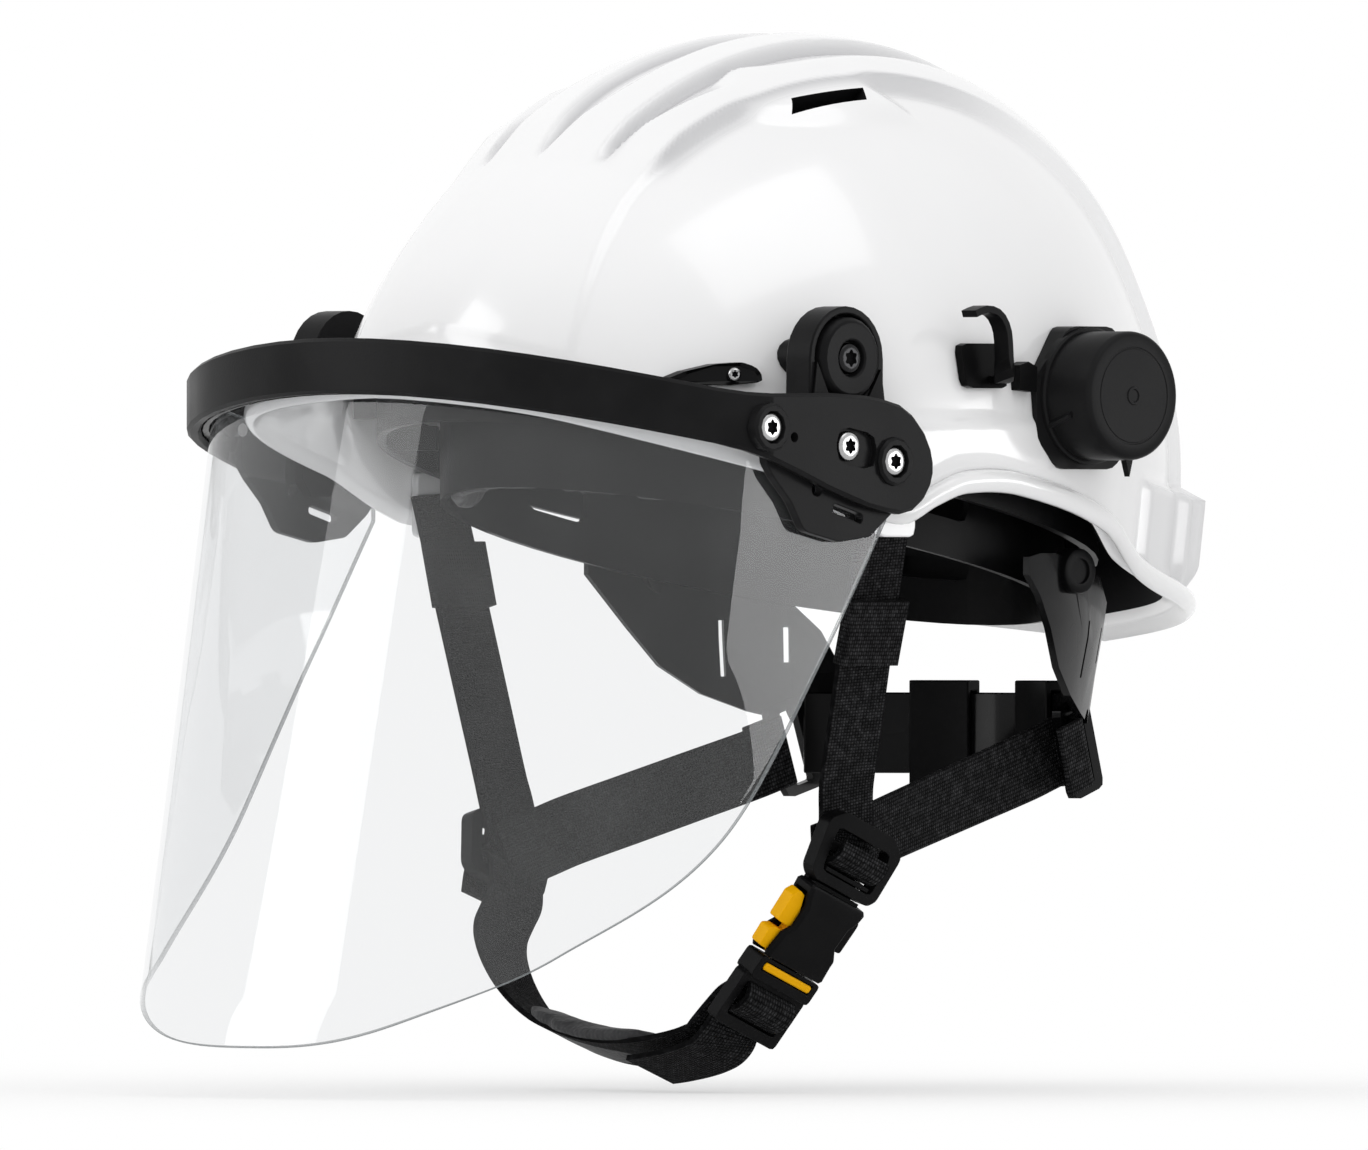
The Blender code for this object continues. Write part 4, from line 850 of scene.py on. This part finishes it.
def carrier_station(turn):
    """Plan point and outward direction of the carrier's middle line. turn is 0 in front, 90 at the arms."""
    c, s = cos(radians(turn)), sin(radians(turn))
    p = 2 / CARRIER_SQUARENESS
    point = Vector((CARRIER_HALF_WIDTH * power(s, p), CARRIER_CORNER_Y - CARRIER_DEPTH * power(c, p)))
    lean = CARRIER_SQUARENESS - 1
    out_x = power(point.x / CARRIER_HALF_WIDTH, lean) / CARRIER_HALF_WIDTH
    out_y = power((point.y - CARRIER_CORNER_Y) / CARRIER_DEPTH, lean) / CARRIER_DEPTH
    return point, Vector((out_x, out_y)).normalized()


def band_middle(y):
    """Height of the carrier's middle line, which rises to the front."""
    return ARM_END[1] - ARM_SLOPE * (y - ARM_END[0]) + BAND_CURL * max(0.0, BAND_CURL_Y - y) ** 2


def lens_line(share):
    """Top and bottom points of the lens from the left rear corner (0) to the front (1)."""
    straight = 0.24
    if share > straight:
        point, out = carrier_station(90 * (1 - share) / (1 - straight))
    else:
        arm_y = mixed(LENS_REAR_Y, CARRIER_CORNER_Y, share / straight)
        point, out = Vector((CARRIER_HALF_WIDTH, arm_y)), Vector((1, 0))
    top = point + out * LENS_OFFSET
    turn = radians(90 * (1 - share))
    width = mixed(CARRIER_HALF_WIDTH + LENS_OFFSET, LENS_LOW_HALF_WIDTH, eased((share - 0.1) / 0.35))
    p = 2 / LENS_SQUARENESS
    low_y = LENS_REAR_Y - LENS_FRONT_REACH * power(cos(turn), p)
    low = Vector((width * power(sin(turn), p), low_y, follow(LENS_EDGE, low_y)))
    return Vector((top.x, top.y, band_middle(top.y) + LENS_LAP)), low


def add_lens():
    """Clear sheet bent round the front, with a cut edge all round."""
    bm, shares = sheet_grid(*LENS_GRID)
    for vert, (s, t) in shares.items():
        top, low = lens_line(1 - abs(2 * s - 1))
        point = top.lerp(low, t)
        vert.co = point if s <= 0.5 else flipped(point, -1)
    face_outwards(bm)
    lens = finished("lens_sheet", bm, "clear_lens", "visor", ("visor_lens",), 60, extra="lens_edge")
    wall = lens.modifiers.new("sheet", "SOLIDIFY")
    wall.thickness = LENS_THICKNESS * MM
    wall.offset = 0
    wall.use_even_offset = True
    wall.material_offset_rim = 1
    polish = round_edges(lens, "polished edge", LENS_POLISH, 60)
    polish.material = 1


def screw(name, seat, levels, body, nodes=(), finish="bright_steel"):
    """Screw grown from its tip. Each level is a radius, a height and the depth of its six lobes."""
    bm = bmesh.new()
    bmesh.ops.create_circle(bm, cap_ends=True, radius=levels[0][0], segments=48)
    bmesh.ops.translate(bm, vec=(0, 0, levels[0][1]), verts=bm.verts[:])
    face = bm.faces[:][0]
    for count, (radius, rise, lobe) in enumerate(levels[1:]):
        grown = bmesh.ops.extrude_face_region(bm, geom=[face])["geom"]
        if count:
            bmesh.ops.delete(bm, geom=[face], context="FACES_ONLY")
        face = next(item for item in grown if isinstance(item, bmesh.types.BMFace))
        for vert in face.verts:
            turn = atan2(vert.co.y, vert.co.x)
            wide = radius * (1 - lobe * (1 + cos(6 * turn)) / 2)
            vert.co = wide * cos(turn), wide * sin(turn), rise
    # Painted shade: the faces of the six-lobed recess take the dark finish
    slack = 0.01
    recess, floor = levels[-2][0] + slack, levels[-1][1] - slack
    for face in bm.faces:
        face.material_index = int(all(v.co.xy.length < recess and v.co.z > floor for v in face.verts))
    face_outwards(bm)
    bmesh.ops.transform(bm, matrix=seat, verts=bm.verts[:])
    piece = finished(name, bm, finish, body, nodes, 30, extra="liner_and_painted_shade")


def screw_head(radius, face, recess, depth):
    """Levels of a rounded screw head with a six-lobed recess, up to the height of its face."""
    low = [(radius, face - 0.9, 0), (radius * 0.95, face - 0.5, 0), (radius * 0.82, face - 0.15, 0)]
    return low + [(recess + 0.3, face, 0), (recess, face - 0.05, 0.26), (recess * 0.9, face - depth, 0.26)]


def add_screws():
    """Arm and pivot screws with six-lobed recesses. The middle arm screw sits lower, in its slot."""
    for name, side in SIDES.items():
        for spot, centre in ARM_SCREWS.items():
            face, seat = (109.9, 108.5) if spot == "middle" else (111.2, 109.7)
            levels = [(1.9, 99.2, 0), (1.9, seat, 0), (4.2, seat, 0), *screw_head(4.2, face, 2.2, 1.3)]
            node = f"arm_screw_{spot}_{name}"
            screw(f"{node}_lobed", side_frame(side, centre, 0), levels, "visor", (node,))
        node = f"pivot_screw_{name}"
        levels = [(4.4, 103.5, 0), *screw_head(4.4, 105.2, 2.4, 1.2)]
        screw(f"{node}_lobed", side_frame(side, PIVOT, 0), levels, "helmet", (node,), "dark_steel")


def add_housing_drum(name, side):
    """Round drum of the accessory housing: a flange, a soft shoulder, a fine groove and a centre ring."""
    profile = (
        (0, 100), (19.2, 100), (19.2, 102.6), (18.7, 103.1), (18.06, 103.1), (18.06, 117.5),
        (17.85, 118.4), (17.3, 119), (16.6, 119.25), (13.7, 119.25), (13.55, 119.05), (13.2, 119.05),
        (13.05, 119.25), (2.6, 119.25), (2.4, 119.6), (1.9, 119.6), (1.7, 119.25), (0, 119.25),
    )
    drum = turned(f"housing_drum_{name}", side_frame(side, HOUSING, 0), profile, "black_plastic", "helmet")
    # Painted light: the drum takes the lighter copy of the black
    drum.data.materials[0] = FINISHES["black_with_painted_light"]


def add_nape_boss(name, side):
    """Round head of the pin that the nape swings on."""
    profile = [(0, 80), (6.4, 80), (6.4, 85.2), (6.1, 85.8), (5.6, 86), (3.6, 86), (3.4, 85.2), (0, 85.2)]
    turned(f"nape_boss_{name}", side_frame(side, NAPE_PIN, 0), profile, "black_plastic", "nape")


def add_small_plates(name, side):
    """Corner webs of the bracket beside the pivot disc, and the tab between lamp hook and housing."""
    webs = ((-81, 27), (-74, 27), (-79.6, 38)), ((-53, 27), (-60, 27), (-54.4, 36))
    tab = (2.5, 30.5), (9, 30), (9.5, 37), (6, 38.5), (2.5, 37.5)
    plates = {
        "bracket_gussets": ("visor", webs, 99.5, 104.4),
        "hook_tab": ("helmet", (tab,), 96.5, 102.6),
    }
    for label, (body, outlines, low, high) in plates.items():
        bm = bmesh.new()
        for outline in outlines:
            side_slab(bm, side, outline, low, high)
        face_outwards(bm)
        finished(f"{label}_{name}", bm, "black_plastic", body, (), 30)


def arm_recesses():
    """Oblong pocket with a hole behind the front screw of each arm."""
    bm = bmesh.new()
    pocket = ((-97, 17), (-94.5, 18.7), (-91.2, 18.9), (-90, 17.8), (-90.2, 16), (-91.6, 15.2), (-95, 15.6))
    for side in SIDES.values():
        side_slab(bm, side, pocket, 108, 112)
        hole = side_frame(side, (-94.2, 17), 109)
        bmesh.ops.create_cone(
            bm, cap_ends=True, segments=20, radius1=1.4, radius2=1.4, depth=7, matrix=hole
        )
    return bm


def add_slot_cover(name, side):
    """Leaf-shaped cover with a raised lip, and the small screw that holds it."""
    node = f"slot_cover_{name}"
    bm = node_copy(node)
    bm.normal_update()
    outer = [face for face in bm.faces if face.normal.x * side > 0.4]
    bmesh.ops.inset_region(
        bm, faces=outer, thickness=1.0, depth=-0.7, use_even_offset=True, use_boundary=True
    )
    eased_copy(node, 0.25, shape=bm)
    y, z = COVER_SCREW
    across = dome_side(y, z)
    out = Vector((side * across / DOME_HALF_WIDTH**2, (y - dome_lean(z)) / DOME_HALF_LENGTH**2, 0))
    seat = frame_of((side * across, y, z), (-out.y, out.x, 0), (0, 0, 1))
    levels = [(0.9, 1.5, 0), (0.9, 3.6, 0), (1.9, 3.6, 0), *screw_head(1.9, 4.9, 1.0, 0.7)]
    screw(f"cover_screw_{name}", seat, levels, "helmet")


def divider_frame(side):
    """Frame of a divider: first axis to the back, second up, third out on the left and in on the right."""
    return frame_of(flipped(DIVIDER_CENTRE, side), flipped(DIVIDER_ACROSS, side), flipped(DIVIDER_UP, side))


def buckle_frame():
    """Frame of the buckle: first axis across the strap, second back up to the divider, third outwards."""
    return frame_of(BUCKLE_HEAD, DIVIDER_ACROSS, BUCKLE_UP)


def lock_frame(side):
    """Frame of the rear strap's lock: first axis on along the strap, second across it, third outwards."""
    seat, foot = flipped(LOCK_SEAT, side), flipped(LOCK_AIM, side)
    along = (seat - foot).normalized()
    up = Vector((0, 0, 1))
    return frame_of(seat, along, up - along * up.dot(along))


def turn_round(at, bar, toward, radius, start):
    """Points of a strap's half turn round a bar, from the side of it that start's sign gives."""
    bar, toward = Vector(bar), Vector(toward).normalized()
    points = []
    for k in range(WRAP_STEPS + 1):
        a = pi * k / WRAP_STEPS
        flat = bar - toward * radius * sin(a)
        points.append(at @ Vector((flat.x, flat.y, start * radius * cos(a))))
    return points


def sleeve_loop(half_wide, half_deep, radius):
    """Flat rounded rectangle from the middle of one long side all the way round."""
    points = [Vector((0, -half_deep))]
    for turn, (x, y) in ((-90, (1, -1)), (0, (1, 1)), (90, (-1, 1)), (180, (-1, -1))):
        centre = Vector((x * (half_wide - radius), y * (half_deep - radius)))
        for k in range(5):
            a = radians(turn + 90 * k / 4)
            points.append(centre + Vector((cos(a), sin(a))) * radius)
        if turn in (-90, 90):
            points.append(Vector((x * half_wide, 0)))
    points.append(Vector((-0.05, -half_deep)))
    return points


def add_front_strap(name, side):
    """Strap from the anchor round the divider's bar, and the sewn sleeve that keeps its tail."""
    top, at = flipped(STRAP_TOP, side), divider_frame(side)
    leads = ((-7.5, 19, -5.0), (-3, 11, -4.4), (-0.5, 6, -3.9))
    lean = [at @ Vector((a, b, side * depth)) for a, b, depth in leads]
    wrap = turn_round(at, (0, DIVIDER_BAR), (0, 1), 3.0, -side)
    tail = at @ Vector((0, DIVIDER_BAR + 2.2, side * 2.9))
    route = [top.lerp(lean[0], i / 5) for i in range(5)] + lean + wrap + [tail]
    tilted = at.to_3x3() @ Vector((1, 0, 0))
    wide = [Vector((0, 1, 0)).lerp(tilted, eased((i - 2) / 5)) for i in range(len(route))]
    webbing(f"front_webbing_{name}", route, wide, 150, "helmet", (f"front_strap_{name}",))

    share = (top.z - KEEPER_HEIGHT[name]) / (top.z - lean[0].z)
    sleeve = frame_of(top.lerp(lean[0], share), (0, 1, 0), (lean[0] - top).cross(Vector((0, 1, 0))))
    loop = [sleeve @ Vector((p.x, p.y, 0)) for p in sleeve_loop(12.2, 2.9, 1.8)]
    along = [sleeve.to_3x3() @ Vector((0, 0, 1))] * len(loop)
    webbing(f"keeper_sleeve_{name}", loop, along, 120, "helmet", (f"strap_keeper_{name}",), 18.4, 1.6)


def add_rear_strap(name, side):
    """Strap from behind the divider back and up to the lock on the nape arm."""
    at, lock = divider_frame(side), lock_frame(side)
    leads = ((-5, -3.8, -7.2), (9, 6.8, -7.4), (17, 12.8, -8.6))
    near = [at @ Vector((a, b, side * depth)) for a, b, depth in leads]
    out_sign = 1 if (lock.to_3x3() @ Vector((0, 0, 1))).x * side > 0 else -1
    wrap = turn_round(lock, (-3, 0), (-1, 0), 3.7, -out_sign)
    approach = lock @ Vector((-14, 0, -out_sign * 3.9))
    tail = lock @ Vector((-12, 0, out_sign * 3.7))
    route = near + [near[-1].lerp(approach, i / 3) for i in range(1, 4)] + wrap + [tail]
    start = at.to_3x3() @ Vector((-0.603, 0.797, 0))
    end = lock.to_3x3() @ Vector((0, 1, 0))
    wide = [start.lerp(end, eased((i - 1) / 5)) for i in range(len(route))]
    piece = webbing(f"rear_webbing_{name}", route, wide, 140, None, (f"rear_strap_{name}",))
    apply_modifiers(piece)
    near[-1] * MM
    approach * MM
    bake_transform(piece)


def chin_point(x, z):
    """Point of the chin strap's slanting plane below the dividers."""
    return Vector((x, DIVIDER_CENTRE[1] + CHIN_TILT * (z - DIVIDER_CENTRE[2]), z))


def chin_across(point):
    """Direction across the chin strap at a point of it."""
    return Vector((DIVIDER_ACROSS[0] * point.x / DIVIDER_CENTRE[0], *DIVIDER_ACROSS[1:]))


def add_chin_strap():
    """Strap round the plug's bar and the right divider, with its loose tail under the plug's end."""
    at, divider = buckle_frame(), divider_frame(-1)
    start, leave = at @ Vector((0, -50.5, -4.6)), at @ Vector((0, -57.5, -5.9))
    end = divider @ Vector((0, -14, 4.2))
    middle = smooth_path([start, leave, *[chin_point(x, z) for x, z in CHIN_ROUTE], end], 30)
    over_bar = turn_round(at, (0, -PLUG_BAR), (0, -1), 3.1, -1)
    under_plug = ((49.6, 2.4), (51.2, 0.6), (52.2, -2.0), (54.6, -4.1))
    tuck = [at @ Vector((0, -run, depth)) for run, depth in under_plug]
    tail = []
    for i in range(2, 9):
        along = (middle[i + 1] - middle[i - 1]).normalized()
        outward = along.cross(chin_across(middle[i])).normalized()
        tail.append(middle[i] + (outward if outward.z < 0 else -outward) * 2.2)
    far_bar = turn_round(divider, (0, -7.9), (0, -1), 3.8, 1)
    far_tail = divider @ Vector((0, -13, -4.0))
    route = tail[::-1] + tuck[::-1] + over_bar[::-1] + middle + far_bar + [far_tail]
    wide = [chin_across(p) for p in route]
    webbing("chin_webbing", route, wide, 360, "helmet", ("chin_strap",))


def cradle_middle(y):
    """Height of the cradle ring's middle line."""
    return CRADLE_HEIGHT + WORN_SLOPE * y


def add_crown_straps():
    """Two straps that cross under the crown."""
    gap = 0.35
    lap = CRADLE_WALL / 2 + CROWN_STRAP / 2 + gap
    long_reach, cross_reach = CRADLE_HALF_LENGTH - lap - 0.9, CRADLE_HALF_WIDTH - lap - 0.5
    ends = {
        "long": ((0, CRADLE_CENTRE - long_reach), (0, CRADLE_CENTRE + long_reach), 97, (1, 0, 0)),
        "cross": ((-cross_reach, CRADLE_CENTRE), (cross_reach, CRADLE_CENTRE), 93, (0, 1, 0)),
    }
    for name, (start, end, top, wide) in ends.items():
        start = Vector((*start, cradle_middle(start[1]) + 3))
        end = Vector((*end, cradle_middle(end[1]) + 3))
        path = []
        for i in range(33):
            t = pi * i / 32
            foot = start.lerp(end, (1 - cos(t)) / 2)
            path.append(Vector((foot.x, foot.y, mixed(foot.z, top, sin(t) ** 0.9))))
        sides, size = [Vector(wide)] * len(path), (CROWN_STRAP_WIDTH, CROWN_STRAP)
        webbing(f"crown_webbing_{name}", path, sides, 160, "helmet", (f"crown_strap_{name}",), *size)


def stuffed(node, reach):
    """Soft pad: the CAD form on an even mesh, swollen by a short cloth simulation."""
    piece = finished(f"{node}_stuffed", node_copy(node), slot_of(node), body_of(node), (node,), 180)
    even = piece.modifiers.new("even mesh", "REMESH")
    even.mode = "VOXEL"
    even.voxel_size = 2 * MM
    apply_modifiers(piece)
    swell(piece, reach * MM)
    piece.data.shade_smooth()
    round_off = piece.modifiers.new("rounding", "SUBSURF")
    round_off.levels = 1
    round_off.render_levels = 1


def swell(piece, reach):
    """Blow the mesh up a little as filled cloth, and keep each point within reach of where it was."""
    before = [vert.co.copy() for vert in piece.data.vertices]
    cloth = piece.modifiers.new("filling", "CLOTH")
    cloth.settings.use_pressure = True
    cloth.settings.uniform_pressure_force = 4
    cloth.settings.effector_weights.gravity = 0
    scene, frames = bpy.context.scene, 20
    for number in range(1, frames + 1):
        scene.frame_set(number)
    apply_modifiers(piece)
    scene.frame_set(1)
    for vert, old in zip(piece.data.vertices, before):
        move = vert.co - old
        vert.co = old + move * min(1.0, reach / max(move.length, 1e-9))


def add_camera():
    """Far camera with a long lens, level with the hat."""
    data = bpy.data.cameras.new("photo_camera")
    data.sensor_width = 36
    data.lens = PIXELS_PER_METRE * CAMERA_DISTANCE / IMAGE_WIDTH * data.sensor_width
    data.clip_end = 100
    back = Vector((sin(radians(CAMERA_AZIMUTH)), -cos(radians(CAMERA_AZIMUTH)), 0))
    camera = placed("photo_camera", data)
    camera.location = CAMERA_AIM + back * CAMERA_DISTANCE
    camera.rotation_euler = (-back).to_track_quat("-Z", "Y").to_euler()
    bpy.context.scene.camera = camera


def add_softbox(name, direction, distance, size, radiance, gloss_only=False):
    """Lamp aimed at the object. A gloss card only shows in shiny surfaces and lights nothing else."""
    data = bpy.data.lights.new(name, "AREA")
    data.shape = "RECTANGLE"
    data.size, data.size_y = size
    data.energy = radiance * pi * size[0] * size[1]
    lamp = placed(name, data)
    toward = Vector(direction).normalized()
    lamp.location = toward * distance
    lamp.rotation_euler = toward.to_track_quat("Z", "Y").to_euler()
    lamp.visible_camera = False
    lamp.visible_diffuse = not gloss_only


def seen_share(start):
    """1 for rays that should see the white surroundings, 0 for rays that gather light."""
    camera, glossy, through = [
        start.node("ShaderNodeLightPath", output=f"Is {kind} Ray")
        for kind in ("Camera", "Glossy", "Transmission")
    ]
    return camera.most(glossy).most(through)


def add_world():
    """White all round, which lights the object a little less from above and from behind."""
    world = bpy.data.worlds.new("studio")
    world.use_nodes = True
    bpy.context.scene.world = world
    start = Value(world.node_tree)
    back = world.node_tree.nodes["Background"]
    back.inputs["Color"].default_value = (1, 1, 1, 1)
    place = start.place("Generated")
    facing = {0: place, 1: BACK_DIRECTION}
    behind = start.node("ShaderNodeVectorMath", {"operation": "DOT_PRODUCT"}, facing, "Value")
    dimming = place.axis("Z").step(0.2, 1.0) * TOP_DIMMING
    gathered = AMBIENT - dimming - behind.step(0.1, 1.0) * BACK_DIMMING
    seen = seen_share(start)
    feed(back.inputs["Strength"], gathered * (1 - seen) + seen)


def add_floor():
    """Pale floor that keeps the object's shadow and fades into the white away from it."""
    bm = bmesh.new()
    bmesh.ops.create_grid(bm, x_segments=8, y_segments=8, size=FLOOR_HALF)
    bmesh.ops.translate(bm, vec=(0, 0, FLOOR_HEIGHT), verts=bm.verts[:])
    floor = placed("studio_floor", mesh_of("studio_floor", bm))
    made, _, place = new_finish("pale_floor")
    reach = place.node("ShaderNodeVectorMath", {"operation": "LENGTH"}, {0: place}, "Value")
    pale = place.node("ShaderNodeBsdfDiffuse", (), {"Color": (0.95, 0.95, 0.95, 1)})
    far = place.node("ShaderNodeEmission", (), {"Color": (1, 1, 1, 1)})
    near = place.node("ShaderNodeMixShader", (), {0: 0.5, 1: pale, 2: far})
    dim = place.node("ShaderNodeBsdfDiffuse", (), {"Color": (0.85, 0.85, 0.85, 1)})
    surface = seen_share(place).shaders(dim, reach.step(0.22, 0.6).shaders(near, far))
    feed(place.tree.nodes["Material Output"].inputs["Surface"], surface)
    floor.data.materials.append(made)


def add_lights():
    """One soft lamp above, and cards that show in the gloss of shell and lens."""
    add_softbox("top_softbox", (0.53, 0.04, 0.85), 1.5, (1.15, 1.15), 0.15)
    add_softbox("top_card", (0.47, 0.0, 0.88), 1.5, (0.95, 0.8), 1.6, True)
    add_softbox("front_card", (-0.555, -0.83, 0.2), 2.0, (0.76, 2.6), 3.2, True)
    add_softbox("side_card", (0.82, 0.57, 0.03), 2.0, (1.05, 0.6), 5.0, True)


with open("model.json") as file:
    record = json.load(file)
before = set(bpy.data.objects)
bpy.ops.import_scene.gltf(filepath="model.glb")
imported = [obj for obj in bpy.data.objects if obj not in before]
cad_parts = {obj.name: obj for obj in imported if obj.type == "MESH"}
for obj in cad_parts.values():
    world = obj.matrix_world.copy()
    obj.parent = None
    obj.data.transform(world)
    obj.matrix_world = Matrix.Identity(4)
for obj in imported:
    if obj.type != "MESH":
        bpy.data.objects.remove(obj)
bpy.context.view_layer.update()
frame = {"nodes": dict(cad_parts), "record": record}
bpy.context.scene.view_settings.view_transform = "Standard"
FINISHES = make_finishes()

add_camera()
add_world()
add_floor()
add_lights()
add_shell()
add_lens()
add_screws()
add_crown_straps()
add_chin_strap()
for label, hand in SIDES.items():
    add_front_strap(label, hand)
    add_rear_strap(label, hand)
    for detail in (add_slot_cover, add_housing_drum, add_nape_boss, add_small_plates):
        detail(label, hand)
    # Painted light: these parts take the lighter copy of the black
    for kind in ("accessory_housing", "pivot_disc", "pivot_post", "lens_clamp", "pivot_bracket"):
        eased_copy(f"{kind}_{label}", finish="black_with_painted_light")
    for kind in ("lamp_hook", "strap_anchor", "nape_arm", "nape_slider", "divider"):
        eased_copy(f"{kind}_{label}")
    for end in ("front", "rear"):
        eased_copy(f"hanger_{end}_{label}")
# Painted light: the visor carrier takes the lighter copy of the black
eased_copy("visor_carrier", 0.7, tool=arm_recesses(), finish="black_with_painted_light")
for single in (
    "lens_gasket", "cradle_ring", "headband", "nape_band", "buckle_socket", "buckle_plug", "buckle_bar"
):
    eased_copy(single)
for end in ("front", "rear"):
    prong = eased_copy(f"release_prong_{end}", 0.9, 18)
    prong.data.set_sharp_from_angle(angle=pi)
stuffed("sweatband", 1.2)
stuffed("chin_pad", 1.0)
